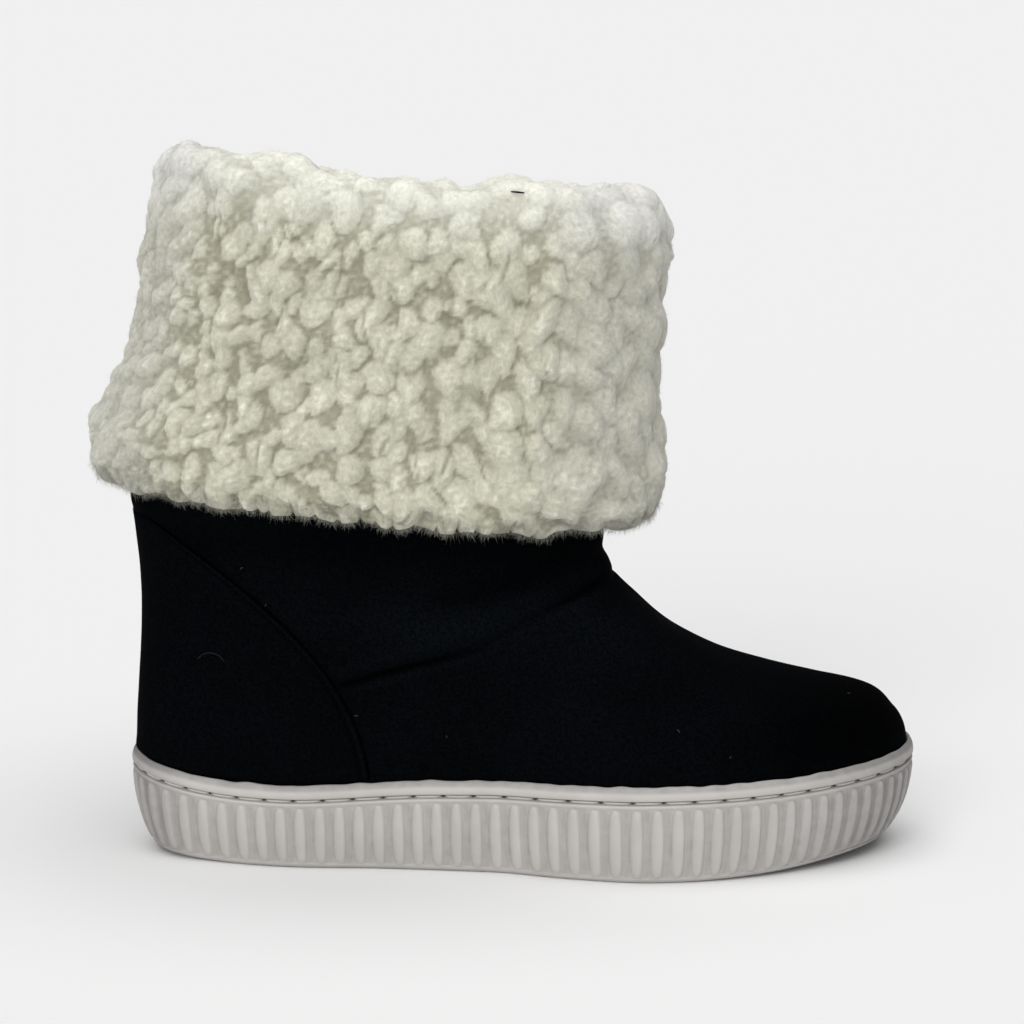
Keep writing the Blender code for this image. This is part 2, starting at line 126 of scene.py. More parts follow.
# Grime and painted shade: across a rib from its edge at -1 to its edge at 1 and over the valley, and on the
# sole's other faces. The dark line at a rib's edge is painted shadow, and the valley is darkened with grime
# and painted shade.
RIB_GRIME_AND_SHADE = table(
    "across dirt",
    (-1.2, 0.6), (-1.0, 1.0), (-0.8, 0.5), (-0.3, 0.26), (0.3, 0.05),
    (0.8, 0.0), (1.0, 0.4), (1.25, 0.72), (1.7, 0.72), (2.0, 0.9),
)
RIB_END_GRIME_AND_SHADE = 0.3  # share of the grime and painted shade at a rib's ends
# Painted shade: the sole darkens towards the toe and the heel, where its side turns away from the light
TOE_PAINTED_SHADE, TOE_SPAN = 0.9, (0.78, 0.99)
HEEL_PAINTED_SHADE, HEEL_SPAN = 0.95, (0.1, 0.01)
TIPS_KEEP = 0.4  # how much less of the painted shade at toe and heel shows where there is grime and painted shade already
# the foot edge faces down and takes painted shade; the slots, the tread and the foot bed take grime
SLOT_GRIME, TREAD_GRIME, FOOT_PAINTED_SHADE, BED_GRIME = 0.9, 0.6, 0.35, 0.5
RIM_EDGE_PAINTED_SHADE, RIM_SPAN = 1.0, (2.2, 1.2)  # painted shadow and reflection of the black upper along the rim's upper edge
GROOVE_PAINTED_SHADOW = (1.2, 2.0)  # painted shadow in the groove below and above the stitches

# Rim above the ribs: lip, stitched groove, smooth band and the edge that meets the upper
UPPER_INSET = 2.6
FEATHER_INSET = 5.2
RIM = table(
    "below inset",
    (7.3, 0.72), (6.9, 0.45), (6.5, 0.30), (6.15, 0.50), (6.05, 1.10), (5.8, 1.70), (5.3, 1.90), (4.9, 1.95),
    (4.7, 1.10), (4.6, 0.45), (4.3, 0.10), (3.4, 0.05), (2.4, 0.20), (1.4, 0.50), (0.7, 0.85), (0.2, 1.35),
    (0.0, 1.80), (0.2, 2.15), (0.9, UPPER_INSET - GAP),
)
RIM_WAVER, RIM_WAVE = 0.12, 9.0  # unevenness of the rim's upper edge
BAND_BELOW = 3.0  # beads lower than this take the painted shadow of the groove
GROOVE_BELOW = 5.3
GROOVE_INSET = 1.9
GROOVE_SHADE = 0.9  # painted shadow gathers from this inset on
STITCH_PITCH = 10.15
STITCH_LENGTH = 9.0
STITCH_RADIUS = 0.44
STITCH_SHIFT = table(
    "share ahead",
    (0.00, 6.0), (0.08, 5.0), (0.14, 3.1), (0.20, 2.3), (0.46, 1.8),
    (0.53, 4.1), (0.60, 5.5), (0.73, 6.0), (1.00, 6.0),
)
STITCH_DIVE, STITCH_DIP = 0.9, (0.34, 0.5)  # how far a stitch's ends dip into the groove, and from where
STITCH_BELLY = 0.12
STITCH_DROP = 0.1
STITCH_TAPER = 0.35
STITCH_STAND = 0.75  # a stitch's middle lies this many radii off the groove's floor
STITCH_STATIONS = 9
HOLE_SIZE = (0.5, 0.42)  # half length and half height of a needle hole
HOLE_RISE = 0.15
HOLE_STATIONS = 5

# Tread: a border with bars between straight slots
SLOT_WIDTH = 3.0
SLOT_DEPTH = 2.0
SLOT_PITCH = 10.0
SLOT_MARGIN = 7.0
SLOT_RUNS = ((0.09, 6), (0.50, 10))
TREAD_ENDS = (0.03, 0.965)
BAR_BEVEL = 0.5
BAR_SAMPLES = 9

# Sections of the upper from the rim to the fold of the collar
WALL = 2.2
SECTIONS = table(
    "heel_x heel_z front_x front_z outer inner oval blunt",
    (3.0, 41.0, 263.6, 47.4, 50.6, 41.0, 0.04, 2.4),
    (3.3, 48.0, 257.4, 53.6, 49.6, 40.5, 0.10, 2.5),
    (3.8, 55.0, 245.0, 56.4, 47.6, 40.0, 0.22, 2.7),
    (4.4, 63.0, 226.0, 60.6, 44.6, 39.0, 0.38, 2.9),
    (5.0, 71.0, 206.0, 66.8, 41.6, 38.2, 0.58, 3.0),
    (5.5, 80.0, 188.2, 75.8, 39.2, 37.4, 0.78, 3.0),
    (5.7, 89.0, 175.6, 86.4, 38.2, 37.2, 0.92, 2.8),
    (5.4, 99.0, 166.4, 96.0, 38.2, 37.6, 1.00, 2.6),
    (4.2, 112.0, 163.0, 105.0, 38.8, 38.4, 1.00, 2.4),
    (2.4, 133.0, 162.6, 117.0, 39.4, 39.4, 1.00, 2.3),
    (11.0, 181.0, 166.0, 167.0, 40.4, 40.4, 1.00, 2.2),
    (19.5, 229.0, 170.0, 217.0, 41.4, 41.4, 1.00, 2.2),
)
LAST_ROW = len(SECTIONS) - 1
OVAL_BACK = 2.3
UPPER_COLUMNS = 320
UPPER_ROWS = 144  # from the rim to just above the cuff's hem
UPPER_TOP_ROW = 9.5
SHAFT_ROWS = np.array([[10.2], [11.0]])
INSIDE_FOOT_ROW = -0.98

# Creases of the upper, drawn on one side of the boot: x from the heel and height
CREASES = table(
    "side line width depth ridge strength",
    (
        -1,
        (
            (72, 63.2), (88, 68.6), (102, 72.6), (120, 77.6),
            (131, 84.0), (142, 89.8), (152, 93.3), (163, 97.6),
        ),
        1.15, 1.5, 0.8,
        (0.7, 1.0, 1.0, 0.7, 0.4, 0.5, 0.9, 0.8),
    ),
    (-1, ((96, 92.0), (118, 95.5), (140, 103.0), (158, 110.0)), 4.5, 0.5, 0.4, (0.1, 0.5, 0.4, 0.1)),
    (
        1,
        ((70, 66.0), (92, 70.0), (114, 77.0), (134, 86.0), (160, 97.0)),
        1.2, 1.4, 0.8,
        (0.6, 1.0, 0.7, 0.4, 0.6),
    ),
    (1, ((92, 96.0), (116, 99.0), (140, 106.0)), 4.5, 0.5, 0.4, (0.1, 0.5, 0.2)),
)
CREASE_RIDGE, RIDGE_WIDTH = 4.6, 2.6  # place and width of the ridge above a crease, in the crease's widths
CREASE_LIP = 2.2  # painted light on a lip this many widths below it
CREASE_FADE = 0.03  # share of the length over which a crease runs out
CREASE_SHADE, RIDGE_PAINTED_LIGHT, LIP_PAINTED_LIGHT = 0.85, 0.3, 0.4  # painted shade in a crease, and painted light on the ridge and the lip beside it
ROW_FOLDS = "row width rise"
ANKLE_FOLDS = table(ROW_FOLDS, (7.0, 0.13, -0.8), (7.5, 0.3, 0.4), (8.05, 0.3, -0.7))  # across the front
HEEL_FLARE = table(ROW_FOLDS, (8.62, 0.26, 1.0))  # the shaft above the heel counter
# Patches of painted light and shade on the nubuck, partly brushed nap: paler above the crease and towards
# the front, painted shadow under the cuff, darker at the toe
NAP_AND_PAINTED_LIGHT = table(
    "x z wide high change",
    (108, 86, 42, 8, 0.45),
    (162, 80, 30, 13, 0.55),
    (60, 113, 60, 7, -0.35),
    (130, 110, 40, 6, -0.3),
    (152, 97, 13, 4, -0.4),
    (120, 52, 60, 12, 0.2),
    (246, 48, 38, 16, -0.75),
)
SLACK, SLACK_WAVE = 0.22, 42.0  # gentle unevenness of the nubuck
SLACK_END = (190, 240)  # it runs out towards the toe

# Heel counter: its front edge is a curve from the rim to the back of the collar
COUNTER_RISE = 1.2
COUNTER_EDGE = ((83.5, 31.0), (80.0, 79.0), (5.0, 121.5))
COUNTER_ROWS = (-0.92, 8.4)
COUNTER_GRID = (84, 101)
COUNTER_ROUND = 1.2
COUNTER_BACK = 0.05  # clearance of its hidden face
SEAM_INSET = 3.0
SEAM_DEPTH, SEAM_GROOVE = 0.3, 0.7
SEAM_PITCH = 3.0
SEAM_LENGTH = 2.3
SEAM_RADIUS = 0.24
SEAM_TAPER = np.array([0.7, 1, 1, 1, 0.7])
SEAM_RISE, SEAM_DIVE = 0.14, 0.3
SEAM_END = 3.0  # the seam stops where the panel is narrower than this beside it
COUNTER_SHADE = -0.9
# painted shade along the panel's edge and in the seam, and painted light on the band between them
COUNTER_PAINTED_SHADE_AND_LIGHT = table("inset width change", (0.0, 0.8, -0.9), (SEAM_INSET, 0.6, -0.8), (1.7, 0.7, 0.5))

# Form of the fleece cuff
CUFF_DEPTH = table(
    "height back side front",
    (0.00, 11.0, 10.5, 15.5),
    (0.10, 14.5, 13.0, 18.5),
    (0.18, 17.0, 13.5, 19.0),
    (0.28, 13.0, 13.0, 17.0),
    (0.46, 7.5, 12.0, 15.0),
    (0.70, 7.5, 11.5, 13.5),
    (0.88, 8.5, 11.5, 15.0),
    (1.00, 7.5, 10.5, 13.5),
)
CUFF_FOOT = 9  # section at the hem
CUFF_TOP = 10.0
CUFF_HANG = 3.5
CUFF_LINING = 6.0
CUFF_INSIDE = -(WALL + GAP)
LINING_FOOT = 0.72  # the cuff's inside turn ends at this share of its height
EDGE_TURN = 0.94 * math.pi
CUFF_COLUMNS = 480
HEM_ROWS, FACE_ROWS, ROLL_ROWS, INSIDE_ROWS, TURN_ROWS = 16, 122, 34, 20, 4
HEM_WAVER, WAVER_WAVE = 0.6, 22.0
HEM_TUFT, TUFT_WAVE = 1.9, 15.0  # height and spacing of the notches between the tufts of the hem
TUFT_NOTCH, TUFT_MEAN = 0.4, 0.35
HEM_LIFT = (0.8, 2.0)  # the hem is higher at the heel and at the front
HEM_SPAN = (8.0, 22.0)  # run from the hem over which it passes into the face
HEM_ALIVE = (0.55, 0.95)  # shares of the hem's rows between which the locks begin

# Crest of the cuff: its far edge as the photograph shows it, x from the heel and height
CREST_VIEW = 0.176  # tangent of the photograph's view from above
CREST_DEPTH = 26.0  # y of the far crest
CREST = table(
    "x z",
    (3.5, 214), (8, 219), (12, 222), (17, 233), (28, 238), (33, 238), (41, 236), (53, 233), (57, 234.5),
    (73, 233), (81, 230), (94, 231.5), (103, 229), (106.5, 231.5), (110.5, 229), (114.5, 225.5), (119, 229),
    (131, 231.5), (135, 231), (139, 228), (147, 228), (156, 226),
    (164, 227), (168, 224), (172, 219), (184, 209),
)
CREST_SHIFT = (-16, 4)  # the most that the fold is moved
CREST_SOFT = (6, 3.0)  # columns over which the shift is smoothed
CREST_SPAN = (-22, 6)  # run about the fold over which it grows
FAR_SIDE = (0.5, 0.1)  # sines between which the far side begins
NEAR_LIFT, NEAR_SPAN = 4.5, (85, 45)  # rise of the near crest at the heel, over the solid's

# Locks of the fleece
LOCK_SEED = 23
LOCK_SPACING = 5.7
LOCK_RISE = (3.0, 4.8)
LOCK_TRIES = 9000
CURL_SPACING = 3.4  # small curls on the locks
CURL_RISE = (0.1, 0.35)
CURL_TRIES = 16000
LOCK_ASPECT = 0.78  # locks lie nearer to each other down the cuff than round it
LOCK_SIZES = (0.7, 1.25)
LOCK_STRETCH = (1.0, 1.75)
LOCK_FORM = (0.78, 0.75, 0.95)  # half width, length behind the middle and length before it, in spacings
HEEL_SMALLER = 0.2
ZONE_CHANGES = table(
    "zone size stretch rise",
    ("fold", 0.5, -0.25, -0.15),
    ("inside", -0.1, 0.0, -0.2),
    ("hem", 0.35, 0.2, 0.0),
)
# Runs over which the zones pass into each other
HEM_END, FOLD_START, INSIDE_START = (8, 18), (-12, 4), (-4, 8)
LOCK_LEAN = 0.65  # locks lean to the heel at the back and to the toe at the front
LOCK_SWAY, FOLD_SWAY, HEM_CALM = 0.45, 0.8, 0.5
RISE_POWER = 0.7
LOCK_REACH = 1.15
LOCK_TAPER, TAPER_START = 0.25, -0.4
LOCK_ROUND = 0.6
LOCK_TIP = 0.15
LOCK_POWER = 6  # how sharply the locks meet
LOCK_DROOP = 0.13  # tips hang by this share of their height
GROUND, GROUND_POWER = 0.6, 4  # the fleece between the locks
WARP, WARP_WAVE, WARP_FINE, FINE_WAVE = 0.55, 16, 0.15, 6  # how far the locks are bent out of even ovals
BILLOW, BILLOW_WAVE = 1.1, 30.0  # broad unevenness of the cuff
FLUFF, FLUFF_WAVE = 0.08, 3.2
FURROW, FURROW_PITCH = 1.0, 22.0  # long creases that run down between the locks
FURROW_WIDTH, FURROW_LENGTH, FURROW_GAPS = 0.25, 0.4, 24.0
MERGE_WIDTH = 2.0  # locks nearer than this run into each other where the fleece is soft
HEEL_SOFT, FRONT_SOFT, PATCH_SOFT, FOLD_SOFT, HEM_SOFT = 0.35, 0.5, 0.35, 0.35, 0.4
HEEL_END, FRONT_END = (0.7, 0.92), (0.5, 0.88)  # cosines over which the heel and the front begin
HAZE_START = (-16, 4)

# Colours of the fleece, with painted shade in the crevices and painted highlights on the crowns and the fold
# painted shade between the locks
CREVICE_SHADE = np.array([0.365, 0.357, 0.272])
WOOL = np.array([0.595, 0.59, 0.485])
# painted highlight on the crowns of the locks
CROWN_HIGHLIGHT = np.array([0.77, 0.772, 0.685])
# painted light on the fold, which faces up to the light
FOLD_HIGHLIGHT = np.array([0.75, 0.753, 0.68])
HIDDEN_WOOL = (0.6, 0.59, 0.5)
END_PAINTED_SHADE = np.array([0.92, 0.915, 0.975])  # painted shade: greyer fleece at the heel and the front, where the cuff turns from the light
FOLD_PALER, END_PALER = 0.6, 0.42  # how far the painted crevice shade is lifted there
# painted shade towards the heel
CUFF_HEEL_PAINTED_SHADE = 0.06
HEM_SHADE, HEM_SHADE_SPAN = 0.84, (5, 17)
STRAND_SCALE = (1.3, 0.7, 7.3)
# darker in the hollows between the tufts: painted shade
LINING_TINT = np.array([(0.42, 0.40, 0.31), (0.74, 0.73, 0.63)])
BED_TINT = np.array([(0.45, 0.43, 0.34), (0.72, 0.70, 0.62)])

# Fibres: how many, their length and radius, how far they hang and their shade
PILE_SEED = 5
Pile = namedtuple("Pile", "count length radius hang shade")
FACE_PILE = Pile(24000, (0.9, 2.1), 0.045, 0.0, 1.0)
FOLD_PILE = Pile(10000, (0.9, 2.4), 0.045, 0.0, 1.0)
HEM_PILE = Pile(22000, (1.8, 5.0), 0.03, 0.4, 0.85)
FIBRE_HALVES = table("lie stand droop hang", (0.6, 0.55, 0.0, 0.3), (0.9, 0.05, 0.2, 1.0))
FIBRE_STRAY = 0.5
FIBRE_ROOT = 0.4  # a fibre starts this far below the surface
FIBRE_RADII = (0.7, 1.25)
FIBRE_SHADES = (0.75, 1.2)
FIBRE_PALEST = 0.92
SPINDLE = np.array([[0, 2, 1], [0, 3, 2], [0, 1, 3], [4, 1, 2], [4, 2, 3], [4, 3, 1]])

# Lining and foot bed
LINING_DEPTH = 4.0
LINING_TUFTS = (0.72, 0.22)  # share of the depth where there is no tuft, and swell of the tufts
LINING_WAVES = (9.0, 0.4, 5.5)  # broad wave, share of the fine wave, and the fine wave
LINING_COLUMNS = 180
LINING_ROWS = 70
LINING_ENDS = (-0.7, CUFF_FOOT + 2 * (LINING_FOOT + 0.04))
LINING_CELL = (2.4, 2.4)
INSOLE_THICKNESS = 5.0
INSOLE_INSET = FEATHER_INSET + WALL + 0.7
INSOLE_EDGE = (1.2, 0.8)  # height and width of its rounded edge
INSOLE_COLUMNS = 240
INSOLE_SHARES = np.linspace(0.02, 0.985, 26)[:, None]  # from the edge to the middle line
INSOLE_TUFTS, INSOLE_WAVE, INSOLE_CELL = 0.35, 6.0, (1.2, 2.5)

# Lint on the nubuck: x from the heel and height on the outer side
LINT = (
    (41.8, 104.5), (50.2, 91.5), (78.5, 53.5), (185.8, 51.5),
    (202.5, 42.7), (246.1, 57.5), (108.7, 47.2),
)
LINT_SIZES = (0.35, 0.7)
LINT_RADIUS, LINT_CURL, LINT_RISE = 0.16, 0.6, 0.1
HAIR = ((26.6, 71.8), (28.4, 73.3), (30.8, 73.9), (33.4, 73.2), (35.6, 71.8))
HAIR_RADIUS, HAIR_RISE, HAIR_STATIONS = 0.06, 0.4, 25
# A dark bit of thread caught in the near crest of the fleece, its heights as seen at NEAR_CREST
DASH = ((131.0, 227.7), (135.5, 227.6))
DASH_RADII, DASH_RISE = np.array([0.2, 0.32, 0.2]), 0.3
NEAR_CREST = -40.0

# Colours of rubber, nubuck and threads, from low to high
RUBBER_CLEAN = ((0.50, 0.475, 0.452), (0.545, 0.527, 0.504))
# grey of grime and painted shade
RUBBER_GRIMY_AND_SHADED = ((0.315, 0.30, 0.29), (0.385, 0.37, 0.36))
# the deepest painted shadow, in the groove above the stitches
RUBBER_DEEP_SHADOW = (0.09, 0.085, 0.08)
NUBUCK_GRAIN = ((0.0007, 0.0011, 0.0017), (0.0021, 0.0027, 0.0034))
FLEECE_STREAK = ((0.91, 0.905, 0.88), (1.06, 1.06, 1.06))
FLEECE_FLECK = ((0.94, 0.935, 0.92), (1.05, 1.05, 1.05))
RIM_THREAD = (0.60, 0.57, 0.54)
# the needle holes are dark blobs of painted shade
NEEDLE_HOLE_SHADE = (0.08, 0.075, 0.07)
SEAM_THREAD = (0.002, 0.0024, 0.0032)
LINT_THREAD = (0.04, 0.041, 0.043)
DARK_THREAD = (0.012, 0.012, 0.016)

# Stage, and the camera at the photograph's viewing angle
FLOOR_HALF = 60.0
FLOOR_COLOUR = (0.86, 0.86, 0.86, 1)
SKY = 0.2
LAMPS = table("name strength spread tilt turn", ("key", 1.37, 40, 66, -18), ("top", 2.03, 70, 10, 0))
CAMERA_PLACE = (0.0030, -1.0242, 0.2974)
CAMERA_TILT = math.radians(80)
CAMERA_LENS = 107.34
SENSOR = 36.0


def curve(shares, values, at):
    """Smooth line through the given values, read at the shares in at. It never swings past a value."""
    shares = np.asarray(shares, float)
    values = np.asarray(values, float)
    at = np.clip(np.asarray(at, float), shares[0], shares[-1])
    steps = np.diff(values) / np.diff(shares)
    before, after = steps[:-1], steps[1:]
    same_way = before * after > 0
    middle = np.where(same_way, 2 * before * after / np.where(same_way, before + after, 1), 0)
    slopes = np.concatenate([steps[:1], middle, steps[-1:]])
    k = np.clip(np.searchsorted(shares, at, side="right") - 1, 0, len(shares) - 2)
    span = shares[k + 1] - shares[k]
    t = (at - shares[k]) / span
    rise = values[k + 1] - values[k]
    from_start = t * (1 - t) ** 2 * span * slopes[k]
    from_end = t**2 * (t - 1) * span * slopes[k + 1]
    return values[k] + rise * t**2 * (3 - 2 * t) + from_start + from_end


def column(rows, name):
    return [getattr(row, name) for row in rows]


def smooth_step(low, high, value):
    t = np.clip((value - low) / (high - low), 0, 1)
    return t * t * (3 - 2 * t)


def bell(t):
    return np.exp(-(t**2))


def quarter_round(t):
    """Height of a rounded edge, from 0 at its rim to 1 on top."""
    return np.sqrt(1 - (1 - np.clip(t, 0, 1)) ** 2)


def mix(low, high, share):
    return low + (high - low) * share


def unit(vectors):
    return vectors / np.maximum(np.linalg.norm(vectors, axis=-1, keepdims=True), 1e-9)


def run_along(points):
    """Distance run along each line of points."""
    hops = np.linalg.norm(np.diff(points, axis=-2), axis=-1)
    return np.concatenate([np.zeros_like(hops[..., :1]), np.cumsum(hops, axis=-1)], axis=-1)


def along_line(places, run, line):
    """Points of a line at places given as distances run along it."""
    return np.stack([np.interp(places, run, line[:, k]) for k in range(3)], axis=-1)


def angles_round(count):
    return np.linspace(0, TURN, count, endpoint=False)[None, :]


# Form of the sole


def share_at(theta):
    """Share of the length at an angle."""
    return (1 - np.cos(theta)) / 2


def half_width(theta):
    """Half width of the sole on the side where an angle lies, before it is rounded off at its ends."""
    ends = [math.sqrt(radius * SOLE_LENGTH / 2) for radius in (HEEL_RADIUS, TOE_RADIUS)]
    shares = [0, *column(PLAN, "share"), 1]
    sides = []
    for side in ("outer", "inner"):
        middle = [getattr(row, side) / math.sqrt(4 * row.share * (1 - row.share)) for row in PLAN]
        sides.append(curve(shares, [ends[0], *middle, ends[1]], share_at(theta)))
    return np.where(np.sin(theta) > 0, *sides)


def swing(share):
    return TOE_SWING * share**3


def widest_line(theta):
    share = share_at(theta)
    y = swing(share) - np.sin(theta) * half_width(theta)
    return np.stack([HEEL_X + SOLE_LENGTH * share, y], axis=-1)


def outward(theta):
    """Level direction away from the sole's widest line."""
    step = 1e-4
    along = widest_line(theta + step) - widest_line(theta - step)
    return unit(np.stack([along[..., 1], -along[..., 0], np.zeros_like(along[..., 0])], axis=-1))


def outline(theta, inset, z):
    """Points at the widest line, moved in by inset, at heights z."""
    plan = widest_line(theta) - outward(theta)[..., :2] * np.asarray(inset, float)[..., None]
    return np.stack(np.broadcast_arrays(plan[..., 0], plan[..., 1], z), axis=-1)


def side_value(theta, name):
    return curve(column(SIDE, "share"), column(SIDE, name), share_at(theta))


def foot_bed(theta):
    t = smooth_step(*FLOOR_FALL, share_at(theta))
    return HEEL_FLOOR + (BALL_FLOOR - HEEL_FLOOR) * t + side_value(theta, "lift")


def sole_side(theta, z):
    """Inset of the sole's side at height z, between the floor and the groove."""
    lift, rim = side_value(theta, "lift"), side_value(theta, "rim")
    up = np.clip((z - lift) / (rim - SIDE_TOP - lift), 0, 1)
    return side_value(theta, "tuck") * (1 - up) ** TUCK_POWER


def sole_runs():
    """Angle against the distance run along each side of the sole."""
    sides = [np.linspace(start, start + math.pi, RUN_SAMPLES) for start in (0, math.pi)]
    return [(theta, run_along(widest_line(theta))) for theta in sides]


# Form of the upper


def section_value(name, row):
    return curve(range(len(SECTIONS)), column(SECTIONS, name), row)


def section_face(theta, row):
    """The upper's outer face at a place between the sections."""
    share = share_at(theta)
    heel_x, front_x = section_value("heel_x", row), section_value("front_x", row)
    heel_z, front_z = section_value("heel_z", row), section_value("front_z", row)
    oval, blunt = section_value("oval", row), section_value("blunt", row)
    outer_side = np.sin(theta) > 0
    half = np.where(outer_side, section_value("outer", row), section_value("inner", row))
    widest = np.where(outer_side, max(column(PLAN, "outer")), max(column(PLAN, "inner")))
    sole_like = np.abs(np.sin(theta)) * half_width(theta) / widest
    power = np.where(share < 0.5, OVAL_BACK, blunt)
    egg = (1 - np.clip(np.abs(np.cos(theta)), 0, 1) ** power) ** (1 / power)
    across = half * ((1 - oval) * sole_like + oval * egg)
    x = HEEL_X + heel_x + (front_x - heel_x) * share
    y = swing(share) * (1 - oval) - np.sign(np.sin(theta)) * across
    return np.stack(np.broadcast_arrays(x, y, heel_z + (front_z - heel_z) * share), axis=-1)


def upper_face(theta, row):
    """The upper's outer face from the rim at -1, over the first section at 0, to the collar's fold."""
    theta, row = np.broadcast_arrays(theta, np.asarray(row, float))
    first = section_face(theta, np.zeros_like(row))
    rim = outline(theta, UPPER_INSET, side_value(theta, "rim"))
    rise = first - rim
    start = UP * np.linalg.norm(rise, axis=-1, keepdims=True)
    end = (section_face(theta, np.full_like(row, STEP)) - first) / STEP
    t = np.clip(row + 1, 0, 1)[..., None]
    foot = rim + rise * t**2 * (3 - 2 * t) + start * t * (1 - t) ** 2 + end * t**2 * (t - 1)
    return np.where(row[..., None] < 0, foot, section_face(theta, np.maximum(row, 0)))


def upper_normals(theta, row):
    along = upper_face(theta + STEP, row) - upper_face(theta - STEP, row)
    up = upper_face(theta, row + STEP) - upper_face(theta, row - STEP)
    return unit(np.cross(along, up))


# Meshes from arrays


def grid_faces(rows, columns, wrap=True, wrap_rows=False):
    """Corner numbers of the faces between the points of a grid, closed round its columns."""
    r = np.arange(rows if wrap_rows else rows - 1)[:, None]
    c = np.arange(columns if wrap else columns - 1)[None, :]
    below, above = r * columns, (r + 1) % rows * columns
    after = (c + 1) % columns
    return np.stack([below + c, below + after, above + after, above + c], axis=-1).reshape(-1, 4)


def cap_faces(ring, flip=False):
    """Faces from side to side that close a ring of points."""
    count = len(ring)
    faces = []
    for k in range(count // 2):
        corners = list(dict.fromkeys([ring[k], ring[k + 1], ring[count - k - 1], ring[-k]]))
        faces.append(corners[::-1] if flip else corners)
    return faces


def closed_faces(rows, columns):
    """Faces of a grid that closes round its columns and is capped at its first and last row."""
    numbers = np.arange(rows * columns).reshape(rows, columns)
    return [grid_faces(rows, columns), cap_faces(numbers[0], flip=True), cap_faces(numbers[-1])]


def grid_normals(points):
    """Normals of a grid of points that closes round its columns."""
    along = np.roll(points, -1, axis=1) - np.roll(points, 1, axis=1)
    return unit(np.cross(along, np.gradient(points, axis=0)))


def tubes(centres, out, radius, sides=6):
    """Closed tubes, one along each row of centres, with a radius for each station."""
    count, stations = centres.shape[:2]
    across = unit(np.cross(np.gradient(centres, axis=1), out))
    turn = np.linspace(0, TURN, sides, endpoint=False)[:, None]
    ring = out[:, :, None] * np.cos(turn) + across[:, :, None] * np.sin(turn)
    points = centres[:, :, None] + ring * np.asarray(radius)[..., None, None]
    size = stations * sides
    starts = np.arange(count)[:, None] * size
    walls = (starts[..., None] + grid_faces(stations, sides)).reshape(-1, 4)
    first = np.arange(sides)[::-1]
    ends = np.concatenate([starts + first, starts + size - 1 - first])
    return points.reshape(-1, 3), [walls, ends]


def join(parts):
    """One list of points and faces from several."""
    points, faces, start = [], [], 0
    for some, corners in parts:
        points.append(some)
        faces += [np.asarray(face) + start for group in corners for face in group]
        start += len(some)
    return np.concatenate(points), [faces]


def opaque(*tints):
    """One list of colours with full cover, from several."""
    tint = np.concatenate([np.reshape(some, (-1, 3)) for some in tints])
    return np.column_stack([tint, np.ones(len(tint))])


def new_piece(name, points, groups, material, slot, node=None, **attributes):
    """A smooth mesh that rides on the boot with its material, and may stand for a solid whose part it hides;
    its slot is not used.
    """
    faces = [tuple(map(int, face)) for group in groups for face in group]
    mesh = bpy.data.meshes.new(name)
    mesh.from_pydata((np.reshape(points, (-1, 3)) * MM).tolist(), [], faces)
    mesh.shade_smooth()
    mesh.materials.append(material)
    kinds = {1: ("FLOAT", "value"), 3: ("FLOAT_VECTOR", "vector"), 4: ("FLOAT_COLOR", "color")}
    for key, values in attributes.items():
        kind, field = kinds[1 if values.ndim == 1 else values.shape[1]]
        data = mesh.attributes.new(key, kind, "POINT").data
        data.foreach_set(field, np.asarray(values, np.float32).ravel())
    piece = bpy.data.objects.new(name, mesh)
    bpy.context.scene.collection.objects.link(piece)
    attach(piece, "root")
    if node:
        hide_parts(node)


# Uneven fields


def waves_in(shape, spacing):
    """Waves per millimetre of each term of a grid's transform."""
    down = np.fft.fftfreq(shape[0], spacing[0])[:, None]
    across = np.fft.rfftfreq(shape[1], spacing[1])[None, :]
    return np.hypot(down, across)


def soft_noise(rng, shape, spacing, wave):
    """Uneven field of unit size with crests about one wave apart, which repeats round both axes."""
    band = bell((waves_in(shape, spacing) * wave - 1) / 0.5)
    field = np.fft.irfft2(np.fft.rfft2(rng.standard_normal(shape)) * band, s=shape)
    return field / field.std()


def blur(field, spacing, width):
    """A field with its details finer than the width smoothed away."""
    band = np.exp(-2 * (math.pi * width * waves_in(field.shape, spacing)) ** 2)
    return np.fft.irfft2(np.fft.rfft2(field) * band, s=field.shape)


def drift(points, wave, seed, waves=24):
    """Uneven field of about unit size at points in space, a sum of waves in all directions."""
    rng = np.random.default_rng(seed)
    ways = unit(rng.normal(0, 1, (waves, 3))) * TURN / wave * rng.uniform(0.7, 1.4, (waves, 1))
    turns = rng.uniform(0, TURN, waves)
    return np.sin(points @ ways.T + turns).sum(axis=-1) / math.sqrt(waves / 2)


# Materials


def add_node(tree, kind, settings=None, **inputs):
    """A shader node with its settings, and with each input set to a value or linked to an output."""
    node = tree.nodes.new(kind)
    for key, value in (settings or {}).items():
        setattr(node, key, value)
    for key, value in inputs.items():
        set_input(tree, node.inputs[key.replace("_", " ")], value)
    return node


def set_input(tree, socket, value):
    if isinstance(value, bpy.types.NodeSocket):
        tree.links.new(value, socket)
    else:
        socket.default_value = value


def new_material(name, **sockets):
    material = bpy.data.materials.new(name)
    material.use_nodes = True
    tree = material.node_tree
    shader = tree.nodes["Principled BSDF"]
    for key, value in sockets.items():
        shader.inputs[key.replace("_", " ")].default_value = value
    return material, tree, shader


def add_attribute(tree, name, output="Fac"):
    return add_node(tree, "ShaderNodeAttribute", {"attribute_name": name}).outputs[output]


def add_noise(tree, scale, detail=2.0, vector=None):
    if vector is None:
        vector = add_node(tree, "ShaderNodeTexCoord").outputs["Object"]
    return add_node(tree, "ShaderNodeTexNoise", Vector=vector, Scale=scale, Detail=detail).outputs["Fac"]


